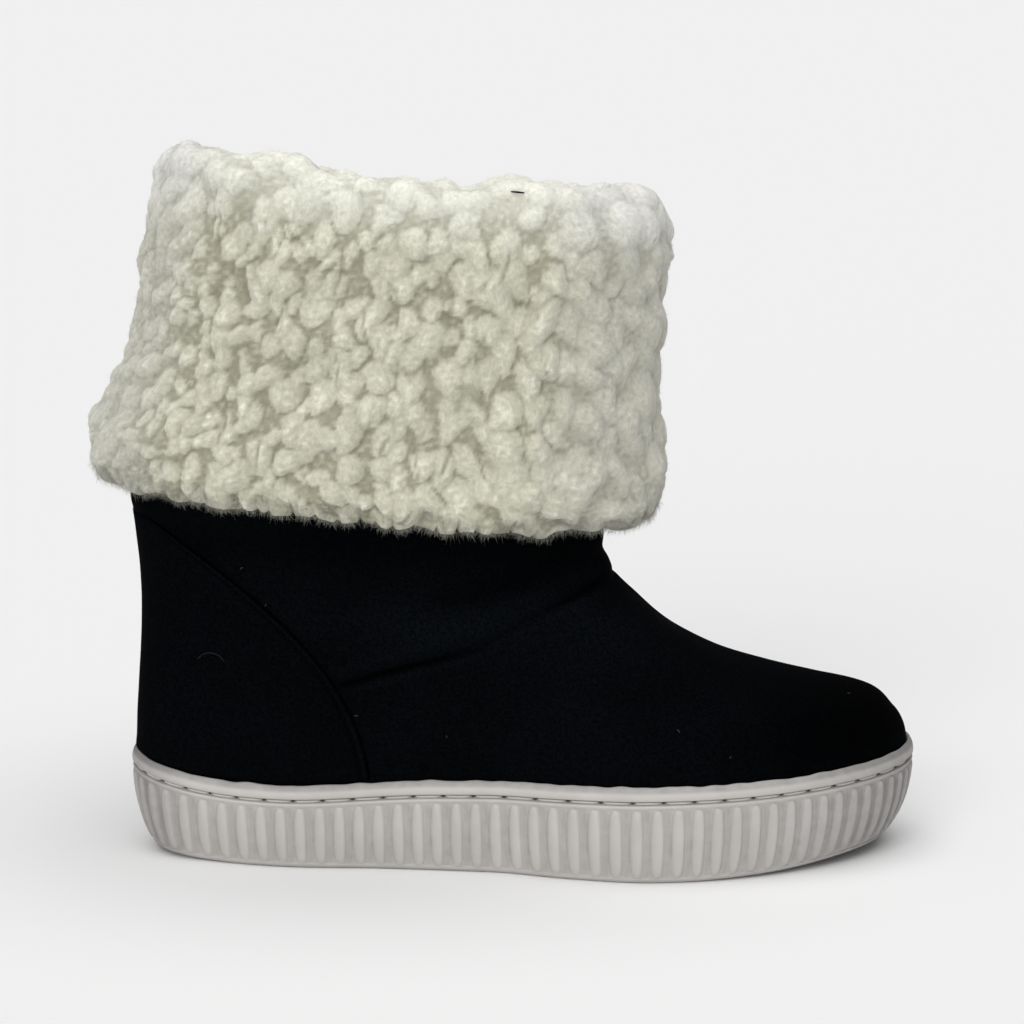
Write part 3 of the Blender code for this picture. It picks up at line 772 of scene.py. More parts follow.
def add_range(tree, value, low, high, to_low=0.0, to_high=1.0):
    ends = {"From_Min": low, "From_Max": high, "To_Min": to_low, "To_Max": to_high}
    return add_node(tree, "ShaderNodeMapRange", Value=value, **ends).outputs["Result"]


def add_ramp(tree, value, low, high, colours):
    """Colour that goes from one to the other as the value goes from low to high."""
    mixer = add_node(tree, "ShaderNodeMix", {"data_type": "RGBA"}, Factor=add_range(tree, value, low, high))
    for socket, colour in zip(mixer.inputs[6:8], colours):
        set_input(tree, socket, (*colour, 1) if isinstance(colour, tuple) else colour)
    return mixer.outputs[2]


def add_math(tree, kind, operation, *values):
    """First output of a node that works on values in order."""
    node = add_node(tree, kind, {"operation": operation})
    for socket, value in zip(node.inputs, values):
        set_input(tree, socket, value)
    return node.outputs[0]


def add_bump(tree, shader, *heights):
    """Bumps on a surface, one over the other, each with a height, a strength and a distance in metres."""
    normal = None
    for height, strength, distance in heights:
        bump = add_node(tree, "ShaderNodeBump", Height=height, Strength=strength, Distance=distance)
        if normal is not None:
            tree.links.new(normal, bump.inputs["Normal"])
        normal = bump.outputs["Normal"]
    tree.links.new(normal, shader.inputs["Normal"])


def rubber_material():
    """Pale moulded rubber with a fine tooth, mottled, greyed by grime and painted shade, and near black in
    the deepest painted shadow.
    """
    material, tree, shader = new_material("sole_rubber", Roughness=0.55, Specular_IOR_Level=0.35)
    grime = add_attribute(tree, "grime")
    clean = add_ramp(tree, add_noise(tree, 90, 3), 0.35, 0.7, RUBBER_CLEAN)
    grimy_and_shaded = add_ramp(tree, add_noise(tree, 260, 3), 0.3, 0.7, RUBBER_GRIMY_AND_SHADED)
    # the attribute holds grime and painted shade alike
    colour = add_ramp(tree, grime, 0.0, 1.0, (clean, grimy_and_shaded))
    colour = add_ramp(tree, grime, 1.0, 2.0, (colour, RUBBER_DEEP_SHADOW))
    tree.links.new(colour, shader.inputs["Base Color"])
    add_bump(tree, shader, (add_noise(tree, 700, 2), 0.12, 0.0004), (add_noise(tree, 2600, 1), 0.1, 0.0002))
    return material


def thread_material(name, colour):
    gloss = min(0.4, max(colour))
    material, tree, shader = new_material(
        name, Base_Color=(*colour, 1), Roughness=0.8, Specular_IOR_Level=gloss, Sheen_Weight=gloss / 4
    )
    add_bump(tree, shader, (add_noise(tree, 1800, 2), 0.35, 0.0003))
    return material


def nubuck_material():
    """Black nap: fine grain and soft clouds where it is brushed, times the shade attribute, which paints
    shade in the creases and light beside them.
    """
    material, tree, shader = new_material(
        "nubuck", Roughness=0.95, Specular_IOR_Level=0.008, Sheen_Weight=0.002, Sheen_Roughness=0.5
    )
    grain = add_ramp(tree, add_noise(tree, 1100, 3), 0.35, 0.65, NUBUCK_GRAIN)
    clouds = add_range(tree, add_noise(tree, 22, 2), 0.3, 0.7, 0.8, 1.2)
    lit = add_math(tree, "ShaderNodeMath", "MULTIPLY_ADD", add_attribute(tree, "shade"), clouds, clouds)
    colour = add_node(tree, "ShaderNodeVectorMath", {"operation": "SCALE"}, Vector=grain, Scale=lit)
    tree.links.new(colour.outputs["Vector"], shader.inputs["Base Color"])
    add_bump(tree, shader, (add_noise(tree, 1500, 3), 0.35, 0.0003), (add_noise(tree, 420, 2), 0.12, 0.0004))
    return material


def fleece_material(name, subsurface=0.0):
    """Soft wool. Where light passes into it, strands run along the locks under a fine fluff."""
    material, tree, shader = new_material(
        name,
        Roughness=0.9,
        Specular_IOR_Level=0.15,
        Sheen_Weight=0.12,
        Sheen_Roughness=0.6,
        Subsurface_Weight=subsurface,
        Subsurface_Radius=(1.0, 0.95, 0.8),
        Subsurface_Scale=0.003,
    )
    tint = add_attribute(tree, "tint", "Color")
    if subsurface:
        strands = add_noise(tree, 1.0, 3, add_attribute(tree, "strand", "Vector"))
        fluff = add_noise(tree, 620, 3)
        add_bump(tree, shader, (strands, 0.2, 0.0006), (fluff, 0.3, 0.0007))
        streak = add_ramp(tree, strands, 0.3, 0.7, FLEECE_STREAK)
        flecks = add_ramp(tree, fluff, 0.35, 0.65, FLEECE_FLECK)
        for layer in (streak, flecks):
            tint = add_math(tree, "ShaderNodeVectorMath", "MULTIPLY", tint, layer)
    tree.links.new(tint, shader.inputs["Base Color"])
    return material


# Sole


def shift_at(rows, share):
    return curve(column(rows, "share"), column(rows, "ahead"), share)


def rib_columns():
    """Angles of the mesh's columns round the sole, and their place across a rib."""
    runs = sole_runs()
    count = 2 * round(sum(run[-1] for _, run in runs) / RIB_PITCH / 4)
    theta = []
    for angles, run in runs:
        length, to_toe = run[-1], angles[0] == 0
        even = (np.arange(count)[:, None] + np.array(RIB_PLACES)).ravel() * length / count
        from_heel = even if to_toe else length - even
        ahead = shift_at(RIB_SHIFT, from_heel / length)
        theta.append(np.interp(even + (ahead if to_toe else -ahead), run, angles))
    return np.concatenate(theta), np.tile(RIB_PLACES, 2 * count)


def rib_relief(place, above_foot, below_head):
    """Rise of a rounded rib, fullest in the middle, with its ends rounded off, and the grime and painted
    shade on it.
    """
    rounded = quarter_round(np.minimum(above_foot / RIB_FADE, below_head / RIB_ROUND))
    up = above_foot / (above_foot + below_head)
    half = RIB_WIDTH / 2
    spindle = 1 - RIB_SPINDLE * (2 * up - 1) ** 2
    tip = quarter_round(np.minimum(above_foot, below_head) / RIB_ROUND)
    across = (place - half) / (half * spindle * np.maximum(tip, RIB_TIP))
    lean = 1 - RIB_LEAN + RIB_LEAN * np.clip(across, -1, 1)
    edge, top = RIB_POWERS
    section = np.clip(1 - np.abs(across) ** edge, 0, 1) ** top
    relief = RIB_RELIEF * lean * (RIB_END + (1 - RIB_END) * rounded) * section
    # painted shadow at the rib's edge, and grime with painted shade in the valley
    dirt = np.interp(across, column(RIB_GRIME_AND_SHADE, "across"), column(RIB_GRIME_AND_SHADE, "dirt"))
    return relief, dirt * (RIB_END_GRIME_AND_SHADE + (1 - RIB_END_GRIME_AND_SHADE) * rounded)


def tread_block(start, end, margin):
    """A bar of the tread between two places along the boot, with its edges bevelled."""
    share = np.linspace(start, end, BAR_SAMPLES)
    loops = []
    for inset, rise, trim in ((0, SLOT_DEPTH + GAP, 0), (0, BAR_BEVEL, 0), (BAR_BEVEL, 0, BAR_BEVEL)):
        trimmed = share + np.linspace(trim, -trim, BAR_SAMPLES) / SOLE_LENGTH
        outer = np.arccos(1 - 2 * trimmed)
        theta = np.concatenate([outer, TURN - outer[::-1]])
        reach = side_value(theta, "tuck") + RIB_RELIEF + margin + inset
        loops.append(outline(theta, reach, side_value(theta, "lift") + rise))
    size = 2 * BAR_SAMPLES
    faces = [grid_faces(3, size)[:, ::-1], [np.arange(size)[::-1], 2 * size + np.arange(size)]]
    return np.concatenate(loops), faces


def tread_blocks():
    """Bars between the slots, and the whole blocks at the heel, the waist and the toe."""
    half = SLOT_WIDTH / 2 / SOLE_LENGTH
    slots = [first + k * SLOT_PITCH / SOLE_LENGTH for first, count in SLOT_RUNS for k in range(count)]
    edges = [TREAD_ENDS[0], *[slot + side * half for slot in slots for side in (-1, 1)], TREAD_ENDS[1]]
    return [tread_block(start, end, SLOT_MARGIN - GAP) for start, end in zip(edges[::2], edges[1::2])]


def rib_heights(foot, head):
    """Heights of the mesh's rows up the ribs, close together near their ends."""
    near = RIB_END_ROWS[-1]
    middle = np.linspace(0, 1, RIB_MIDDLE_ROWS + 2)[1:-1]
    heights = [foot + end for end in RIB_END_ROWS]
    heights += [foot + near + (head - foot - 2 * near) * share for share in middle]
    return heights + [head - end for end in RIB_END_ROWS[::-1]]


def make_sole():
    """Cup sole from the tread's border over the ribbed side and the rim to the foot bed, with its bars."""
    theta, place = rib_columns()
    share = share_at(theta)
    lift, rim = side_value(theta, "lift"), side_value(theta, "rim")
    foot, head = lift + RIB_FOOT, rim - RIB_HEAD
    # painted shade towards the toe and the heel
    tip_shade = TOE_PAINTED_SHADE * smooth_step(*TOE_SPAN, share) + HEEL_PAINTED_SHADE * smooth_step(*HEEL_SPAN, share)
    rings, grime = [], []

    def ring(inset, z, dirt):
        rings.append(outline(theta, inset, z))
        grime.append(dirt + tip_shade * (1 - TIPS_KEEP * np.clip(dirt, 0, 1)))

    border = side_value(theta, "tuck") + RIB_RELIEF + SLOT_MARGIN
    ring(border, lift + SLOT_DEPTH, SLOT_GRIME)
    ring(border, lift, TREAD_GRIME)
    under = border - SLOT_MARGIN + FOOT_EDGE
    foot_inset = sole_side(theta, foot) + RIB_RELIEF
    # the rounded foot edge, darkened with painted shade
    for turn in np.linspace(0, math.pi / 2, EDGE_ROWS):
        ring(mix(under, foot_inset, math.sin(turn)), lift + RIB_FOOT * (1 - math.cos(turn)), FOOT_PAINTED_SHADE)
    for z in rib_heights(foot, head):
        relief, dirt = rib_relief(place, z - foot, head - z)
        ring(sole_side(theta, z) + RIB_RELIEF - relief, z, dirt)
    waver = RIM_WAVER * drift(outline(theta, 0.0, rim), RIM_WAVE, LOCK_SEED)
    for bead in RIM:
        # painted shadow along the rim's upper edge
        dirt = RIM_EDGE_PAINTED_SHADE * smooth_step(*RIM_SPAN, bead.below)
        # painted shadow in the groove, deepest above the thread under the lip
        if bead.below > BAND_BELOW:
            dirt = np.clip(bead.inset - GROOVE_SHADE, 0, 1) * GROOVE_PAINTED_SHADOW[bead.below < GROOVE_BELOW]
        top = np.clip(1 - bead.below / 2, 0, 1)
        ring(bead.inset, rim - bead.below + top * waver, dirt)
    ring(FEATHER_INSET - GAP, foot_bed(theta), BED_GRIME)

    whole = (np.concatenate(rings), closed_faces(len(rings), len(theta)))
    points, groups = join([whole, *tread_blocks()])
    grime.append(np.full(len(points) - len(whole[0]), TREAD_GRIME))
    new_piece("sole", points, groups, rubber_material(), "sole", "cup_sole", grime=np.concatenate(grime))


def make_rim_stitches():
    """Thread in the groove, dipping into a needle hole at both ends of each stitch; the holes are dark blobs
    of painted shade.
    """
    (outer_angles, outer_run), (inner_angles, inner_run) = sole_runs()
    along = np.concatenate([outer_run, outer_run[-1] + inner_run[1:]])
    angles = np.concatenate([outer_angles, inner_angles[1:]])
    whole = along[-1]
    count = round(whole / STITCH_PITCH)
    starts = np.arange(count) * whole / count
    starts = starts + shift_at(STITCH_SHIFT, starts / outer_run[-1])
    gaps = np.diff(starts, append=starts[0] + whole)
    share = np.linspace(-0.5, 0.5, STITCH_STATIONS)
    places = (starts + gaps / 2)[:, None] + share * (gaps * STITCH_LENGTH / STITCH_PITCH)[:, None]
    theta = np.interp(places % whole, along, angles)
    dip = STITCH_DIVE * smooth_step(*STITCH_DIP, np.abs(share))
    inset = GROOVE_INSET - STITCH_RADIUS * STITCH_STAND + dip - STITCH_BELLY * np.cos(share * math.pi)
    centres = outline(theta, inset, side_value(theta, "rim") - GROOVE_BELOW - STITCH_DROP)
    radius = STITCH_RADIUS * (1 - STITCH_TAPER * np.abs(2 * share) ** 4)
    thread = thread_material("rim_thread", RIM_THREAD)
    new_piece("rim_stitches", *tubes(centres, outward(theta), radius, sides=8), thread, "sole")

    hole = np.interp(starts % whole, along, angles)[:, None]
    spread = np.linspace(-1, 1, HOLE_STATIONS)
    theta = hole + spread * HOLE_SIZE[0] / whole * TURN
    centres = outline(theta, GROOVE_INSET - HOLE_RISE, side_value(theta, "rim") - GROOVE_BELOW)
    radius = HOLE_SIZE[1] * np.sqrt(1.02 - spread**2)
    # dark blobs of painted shade for the needle holes
    dark = thread_material("needle_hole_shade", NEEDLE_HOLE_SHADE)
    new_piece("rim_needle_hole_shade", *tubes(centres, outward(theta), radius), dark, "sole")


# Upper


def line_distance(points, line):
    """Signed distance of points in a plane from a line, and the share of the line nearest to them."""
    line = np.asarray(line, float)
    runs = run_along(line)
    best = np.full(len(points), 1e9)
    sign, share = np.ones(len(points)), np.zeros(len(points))
    for start, end, length, run in zip(line, line[1:], np.diff(runs), runs):
        along = (end - start) / length
        offset = points - start
        t = np.clip(offset @ along, 0, length)
        gap = np.linalg.norm(offset - t[:, None] * along, axis=1)
        near = gap < best
        best = np.where(near, gap, best)
        sign = np.where(near, np.sign(along[0] * offset[:, 1] - along[1] * offset[:, 0]), sign)
        share = np.where(near, (run + t) / runs[-1], share)
    return best * sign, share


def crease_rise(seen, facing):
    """Rise and change of tone at the creases: a narrow trough, with a soft ridge above it; painted shade in
    the trough and painted light on the ridge and a lip below.
    """
    rise, shade = np.zeros(len(seen)), np.zeros(len(seen))
    for crease in CREASES:
        gap, share = line_distance(seen, crease.line)
        gap = gap / crease.width
        strength = np.interp(share, np.linspace(0, 1, len(crease.strength)), crease.strength)
        strength *= smooth_step(0, CREASE_FADE, share) * smooth_step(0, CREASE_FADE, 1 - share)
        strength *= smooth_step(0.1, 0.5, facing * crease.side)
        trough = (1 + gap**2) ** -1.5
        ridge = bell((gap - CREASE_RIDGE) / RIDGE_WIDTH)
        rise += strength * (crease.ridge * ridge - crease.depth * trough)
        # painted light on the ridge and the lip, and painted shade in the trough
        painted_light = RIDGE_PAINTED_LIGHT * ridge + LIP_PAINTED_LIGHT * bell(gap + CREASE_LIP)
        shade += strength * (painted_light - CREASE_SHADE * bell(gap))
    return rise, shade


def upper_skin(theta, rows):
    """The upper's outer face with its creases, folds and slack, and the painted light and shade over it,
    partly brushed nap.
    """
    points = upper_face(theta, rows)
    normals = grid_normals(points)
    seen = np.stack([points[..., 0] - HEEL_X, points[..., 2]], axis=-1).reshape(-1, 2)
    rise, shade = crease_rise(seen, normals[..., 1].ravel())
    # patches of painted light and shade, partly brushed nap
    for tone in NAP_AND_PAINTED_LIGHT:
        away = ((seen[:, 0] - tone.x) / tone.wide) ** 2 + ((seen[:, 1] - tone.z) / tone.high) ** 2
        shade += tone.change * np.exp(-away)
    rise, shade = rise.reshape(points.shape[:2]), shade.reshape(points.shape[:2])
    front, heel = smooth_step(0.55, 0.95, -np.cos(theta)), smooth_step(0.3, 0.9, np.cos(theta))
    for where, folds in ((front, ANKLE_FOLDS), (heel, HEEL_FLARE)):
        for fold in folds:
            rise = rise + where * fold.rise * bell((rows - fold.row) / fold.width)
    calm = smooth_step(-0.6, 1.0, rows) * (1 - smooth_step(*SLACK_END, points[..., 0] - HEEL_X))
    rise = rise + calm * SLACK * drift(points, SLACK_WAVE, LOCK_SEED)
    return points + normals * rise[..., None], shade


def make_upper(material):
    """Vamp, quarters and shaft as one wall."""
    theta = angles_round(UPPER_COLUMNS)
    skin, shade = upper_skin(theta, np.linspace(-1, UPPER_TOP_ROW, UPPER_ROWS)[:, None])
    bed = foot_bed(theta) + GAP
    feather = outline(theta, FEATHER_INSET, bed)
    cup = mix(feather, skin[:1], 0.5)
    inside_rows = np.array([*range(LAST_ROW, -1, -1), INSIDE_FOOT_ROW])[:, None]
    inward = upper_normals(theta, np.minimum(inside_rows, LAST_ROW - 0.01))
    inside = upper_face(theta, inside_rows) - inward * WALL
    sock = outline(theta, FEATHER_INSET + WALL, bed)
    points = np.concatenate([feather, cup, skin, upper_face(theta, SHAFT_ROWS), inside, sock])
    tone = np.zeros(points.shape[:2])
    tone[2 : 2 + len(shade)] = shade
    faces = grid_faces(len(points), UPPER_COLUMNS, wrap_rows=True)
    new_piece("upper_wall", points, [faces], material, "suede", "upper", shade=tone.ravel())
    return skin


def counter_reach(rows):
    """Angle from the heel at which the counter's front edge crosses each row."""
    (x0, z0), (x1, z1), (x2, z2) = COUNTER_EDGE
    t = np.linspace(0, 1, 201)
    edge_x = x0 * (1 - t) ** 2 + 2 * x1 * t * (1 - t) + x2 * t**2
    edge_z = z0 * (1 - t) ** 2 + 2 * z1 * t * (1 - t) + z2 * t**2
    theta = np.linspace(0.01, math.pi / 2, 900)
    face = upper_face(theta[None, :], rows)
    past = face[..., 0] - HEEL_X - np.interp(face[..., 2], edge_z, edge_x)
    return np.array([np.interp(0.0, line, theta) for line in past])[:, None]


def make_counter(material):
    """Heel counter: a panel with rounded edges over the upper, and the seam that holds it."""
    row_count, column_count = COUNTER_GRID
    rows = np.linspace(*COUNTER_ROWS, row_count)[:, None]
    spread = np.sin(np.linspace(-1, 1, column_count) * math.pi / 2)[None, :]
    theta = counter_reach(rows) * spread % TURN
    face, normals = upper_face(theta, rows), upper_normals(theta, rows)
    run = run_along(face)
    to_edge = np.minimum(run, run[:, -1:] - run)
    seam = SEAM_DEPTH * bell((to_edge - SEAM_INSET) / SEAM_GROOVE)
    rise = GAP + (COUNTER_RISE - GAP) * quarter_round(to_edge / COUNTER_ROUND) - seam
    over = face + normals * rise[..., None]
    points = np.concatenate([over, face[::-1] + normals[::-1] * COUNTER_BACK])
    numbers = np.arange(2 * row_count * column_count).reshape(2 * row_count, column_count)
    groups = [grid_faces(2 * row_count, column_count, wrap=False, wrap_rows=True)]
    for end in (0, -1):
        front, back = numbers[:row_count, end], numbers[row_count:, end][::-1]
        strip = np.stack([front[:-1], front[1:], back[1:], back[:-1]], axis=1)
        groups.append(strip if end == 0 else strip[:, ::-1])
    # painted shade at the edge and the seam, painted light between them
    tone = sum(row.change * bell((to_edge - row.inset) / row.width) for row in COUNTER_PAINTED_SHADE_AND_LIGHT)
    shade = np.concatenate([tone, np.full_like(tone, COUNTER_SHADE)]).ravel()
    new_piece("counter_panel", points, groups, material, "suede", "heel_counter", shade=shade)

    centres, outs = [], []
    wide = run[:, -1] / 2 > SEAM_INSET + SEAM_END
    share = np.linspace(-0.5, 0.5, len(SEAM_TAPER))
    for flip in (1, -1):
        from_edge = run[wide] if flip > 0 else run[wide, -1:] - run[wide, ::-1]
        line, lean = (
            np.array([along_line(SEAM_INSET, r, g) for r, g in zip(from_edge, grid[wide, ::flip])])
            for grid in (over, normals)
        )
        length = run_along(line)
        count = int(length[-1] / SEAM_PITCH)
        places = (np.arange(count)[:, None] + 0.5) * SEAM_PITCH + share * SEAM_LENGTH
        outs.append(unit(along_line(places, length, lean)))
        dive = SEAM_RISE - SEAM_DIVE * (2 * share[None, :, None]) ** 4
        centres.append(along_line(places, length, line) + outs[-1] * dive)
    thread = thread_material("seam_thread", SEAM_THREAD)
    seam = tubes(np.concatenate(centres), np.concatenate(outs), SEAM_RADIUS * SEAM_TAPER)
    new_piece("counter_seam", *seam, thread, "suede")


# Form of the cuff


def cuff_depth(theta, height):
    """How far the cuff stands off the shaft."""
    heights = column(CUFF_DEPTH, "height")
    names = ("back", "side", "front")
    back, side, front = (curve(heights, column(CUFF_DEPTH, name), height) for name in names)
    end = np.abs(np.cos(theta)) ** 3
    return side + end * (np.where(np.cos(theta) > 0, back, front) - side)


def cuff_points(theta, height, off, up):
    """Points that stand off level from the shaft at a share of the cuff's height."""
    row = CUFF_FOOT + (LAST_ROW - CUFF_FOOT) * height
    level = upper_normals(theta, np.minimum(row, LAST_ROW - 0.01)) * np.array([1, 1, 0])
    points = upper_face(theta, row) + unit(level) * off[..., None]
    return points + up[..., None] * UP


def cuff_skin(theta):
    """Middle surface of the fleece as a grid, from the hem over the outside and the fold to the inside."""
    hem = np.linspace(-EDGE_TURN, 0, HEM_ROWS, endpoint=False)
    roll = np.linspace(0, math.pi, ROLL_ROWS, endpoint=False)
    turn = np.linspace(0, EDGE_TURN, TURN_ROWS)
    face = np.linspace(0, 1, FACE_ROWS, endpoint=False)
    inner = np.linspace(1, LINING_FOOT, INSIDE_ROWS, endpoint=False)
    rows = [
        (np.zeros(HEM_ROWS), (1 - np.cos(hem)) / 2, CUFF_HANG * np.sin(hem)),
        (face, 0 * face, 0 * face),
        (np.ones(ROLL_ROWS), (1 - np.cos(roll)) / 2, CUFF_TOP * np.sin(roll)),
        (inner, np.ones(INSIDE_ROWS), 0 * inner),
        (np.full(TURN_ROWS, LINING_FOOT), (1 - np.cos(turn)) / 2, -CUFF_LINING / 2 * np.sin(turn)),
    ]
    height, share, up = (np.concatenate(part)[:, None] for part in zip(*rows))
    lining = CUFF_INSIDE - CUFF_LINING
    near = cuff_depth(theta, height)
    far = np.full_like(near, lining)
    far[:HEM_ROWS] = GAP
    near[-TURN_ROWS:] = lining
    far[-TURN_ROWS:] = CUFF_INSIDE
    return cuff_points(theta, height, mix(near, far, share), np.broadcast_to(up, near.shape))


def cuff_back(theta):
    """Hidden face of the cuff along the shaft's wall, from the inside over its edge to the hem."""
    rows = [(height, CUFF_INSIDE, 0) for height in (0.75, 0.9)]
    rows += [(1.0, CUFF_INSIDE, GAP), (1.0, GAP, GAP)]
    rows += [(height, GAP, 0) for height in (0.9, 0.6, 0.3, 0.05)]
    return cuff_points(theta, *(np.array(part)[:, None] + 0 * theta for part in zip(*rows)))


# Locks of the fleece


Locks = namedtuple("Locks", "a t width back front dir_a dir_t rise")
Zones = namedtuple("Zones", "start fold inside end")
Skin = namedtuple("Skin", "points theta a t around zones")
Relief = namedtuple("Relief", "height own furrow fluff fold ends")
Fleece = namedtuple("Fleece", "points normals tint dir_a dir_t")


def zone_step(place, span, t):
    """Passage from one zone to the next about a place."""
    return smooth_step(place + span[0], place + span[1], t)


def keep_apart(a, t, gap, around):
    """Numbers of the places that lie apart from all those kept before them."""
    kept = np.zeros(len(a), int)
    count = 0
    for k in range(len(a)):
        near = kept[:count]
        da = np.abs(a[near] - a[k])
        da = np.minimum(da, around - da)
        if np.all(np.hypot(da, LOCK_ASPECT * (t[near] - t[k])) >= (gap[near] + gap[k]) / 2):
            kept[count] = k
            count += 1
    return kept[:count]


def scatter_locks(rng, skin, spacing, rise, tries):
    """Places, sizes and directions of locks on the skin, by runs round the cuff and up from the hem."""
    zones, around = skin.zones, skin.around
    a = rng.uniform(0, around, tries)
    t = rng.uniform(zones.start, zones.end, tries)
    inside = zone_step(zones.inside, INSIDE_START, t)
    fold = zone_step(zones.fold, FOLD_START, t) * (1 - inside)
    shares = {"inside": inside, "fold": fold, "hem": 1 - zone_step(zones.start, HEM_END, t)}
    to_heel = np.cos(TURN * a / around)

    def change(name):
        total = 1
        for row in ZONE_CHANGES:
            total = total + getattr(row, name) * shares[row.zone]
        return total

    size = (1.0 - HEEL_SMALLER * to_heel) * change("size") * rng.uniform(*LOCK_SIZES, tries)
    kept = keep_apart(a, t, spacing * size, around)
    a, t, size, to_heel = (values[kept] for values in (a, t, size, to_heel))
    shares = {zone: values[kept] for zone, values in shares.items()}
    count = len(kept)
    down = -np.cos(math.pi * np.clip((t - zones.fold) / (zones.inside - zones.fold), 0, 1))
    lean = -LOCK_LEAN * to_heel * (1 - shares["inside"])
    sideways = lean + rng.normal(0, LOCK_SWAY, count) + shares["fold"] * rng.normal(0, FOLD_SWAY, count)
    sideways = sideways * (1 - HEM_CALM * shares["hem"])
    length = np.hypot(down, sideways) + 1e-6
    stretch = rng.uniform(*LOCK_STRETCH, count) * change("stretch")
    width, back, front = (spacing * size * share for share in LOCK_FORM)
    rises = size**RISE_POWER * rng.uniform(*rise, count) * change("rise")
    return Locks(a, t, width, back * stretch, front * stretch, sideways / length, down / length, rises)


def lock_field(locks, skin, warp):
    """Height of the locks over the skin, and each point's leading lock, its height and the place on it."""
    shape = skin.points.shape[:2]
    total, best, across_at, along_at = (np.zeros(shape) for _ in range(4))
    leader = np.zeros(shape, int)
    step = skin.around / shape[1]
    for k in range(len(locks.a)):
        reach = max(locks.width[k], locks.front[k]) * LOCK_REACH + 2 * WARP
        rows = np.arange(*np.searchsorted(skin.t, [locks.t[k] - reach, locks.t[k] + reach]))
        span = int(reach / step) + 1
        columns = (int(round(locks.a[k] / step)) + np.arange(-span, span + 1)) % shape[1]
        place = np.ix_(rows, columns)
        half = skin.around / 2
        da = (skin.a[columns] - locks.a[k] + half) % skin.around - half + warp[0][place]
        dt = skin.t[rows][:, None] - locks.t[k] + warp[1][place]
        along = da * locks.dir_a[k] + dt * locks.dir_t[k]
        across = da * locks.dir_t[k] - dt * locks.dir_a[k]
        ahead = along / np.where(along > 0, locks.front[k], locks.back[k])
        width = locks.width[k] * (1 - LOCK_TAPER * np.clip(ahead, TAPER_START, 1))
        inside = np.clip(1 - ahead**2 - (across / width) ** 2, 0, 1)
        lobe = locks.rise[k] * inside**LOCK_ROUND * (1 - LOCK_TIP + LOCK_TIP * np.clip(ahead, -1, 1))
        total[place] += lobe**LOCK_POWER
        lead = lobe > best[place]
        for field, values in ((best, lobe), (leader, k), (across_at, across), (along_at, along)):
            field[place] = np.where(lead, values, field[place])
    return total ** (1 / LOCK_POWER), leader, best, across_at, along_at


def follow_crest(points, skin):
    """Shift of the fold, column by column, that brings its seen far edge to the line in the table."""
    seen = points[..., 2] + CREST_VIEW * (points[..., 1] - CREST_DEPTH)
    top = seen.argmax(axis=0)
    columns = np.arange(points.shape[1])
    x = points[top, columns, 0] - HEEL_X
    lack = np.interp(x, column(CREST, "x"), column(CREST, "z")) - seen[top, columns]
    reach, width = CREST_SOFT
    weights = bell(np.arange(-reach, reach + 1) / width)
    lack = np.convolve(np.concatenate([lack[-reach:], lack, lack[:reach]]), weights / weights.sum(), "valid")
    lack = np.clip(lack, *CREST_SHIFT)
    to_near = np.sin(skin.theta[0])
    lack = np.where(lack > 0, lack * smooth_step(*FAR_SIDE, to_near), lack)
    lack = lack + NEAR_LIFT * smooth_step(*FAR_SIDE[::-1], to_near) * smooth_step(*NEAR_SPAN, x)
    growth = zone_step(skin.zones.fold, CREST_SPAN, skin.t)
    growth = growth * (1 - smooth_step(skin.zones.inside, skin.zones.end, skin.t))
    return growth[:, None] * lack


def paint_fleece(rng, skin, relief, leader, count):
    """Colour of the fleece: painted shade between locks, painted highlights on crowns and the hazy fold, and
    painted shade greying the ends, the heel and the hem.
    """
    height, own, furrow, fluff, fold, ends = (np.asarray(field)[..., None] for field in relief)
    # painted shade in the crevices, at the locks' edges and in the furrows
    clear_of_shade = smooth_step(*np.percentile(height, [2, 34]), height + 0.2 * fluff)
    clear_of_shade = (0.5 * clear_of_shade + 0.5 * smooth_step(0.2, 0.6, own)) * (1 - 0.65 * furrow)
    clear_of_shade = clear_of_shade + (1 - clear_of_shade) * np.maximum(FOLD_PALER * fold, END_PALER * ends)
    per_lock = rng.uniform(-1, 1, count)[leader][..., None]
    # painted highlight on the crowns
    crown_highlight = smooth_step(0.7, 0.98, own + 0.05 * fluff) * (0.6 + 0.4 * per_lock)
    face = mix(WOOL, CROWN_HIGHLIGHT, crown_highlight)
    # painted light on the fold, and painted shade that greys the ends
    tint = mix(CREVICE_SHADE, mix(face, FOLD_HIGHLIGHT, fold), clear_of_shade) * mix(1, END_PAINTED_SHADE, ends)
    # painted shade towards the heel
    tint = tint * (1 - CUFF_HEEL_PAINTED_SHADE * smooth_step(0.0, 0.7, np.cos(skin.theta))[..., None])
    tint = tint * mix(HEM_SHADE, 1, smooth_step(*HEM_SHADE_SPAN, skin.t))[:, None, None]
    return np.clip(tint * (1 + 0.04 * per_lock + 0.02 * fluff), 0, 1)


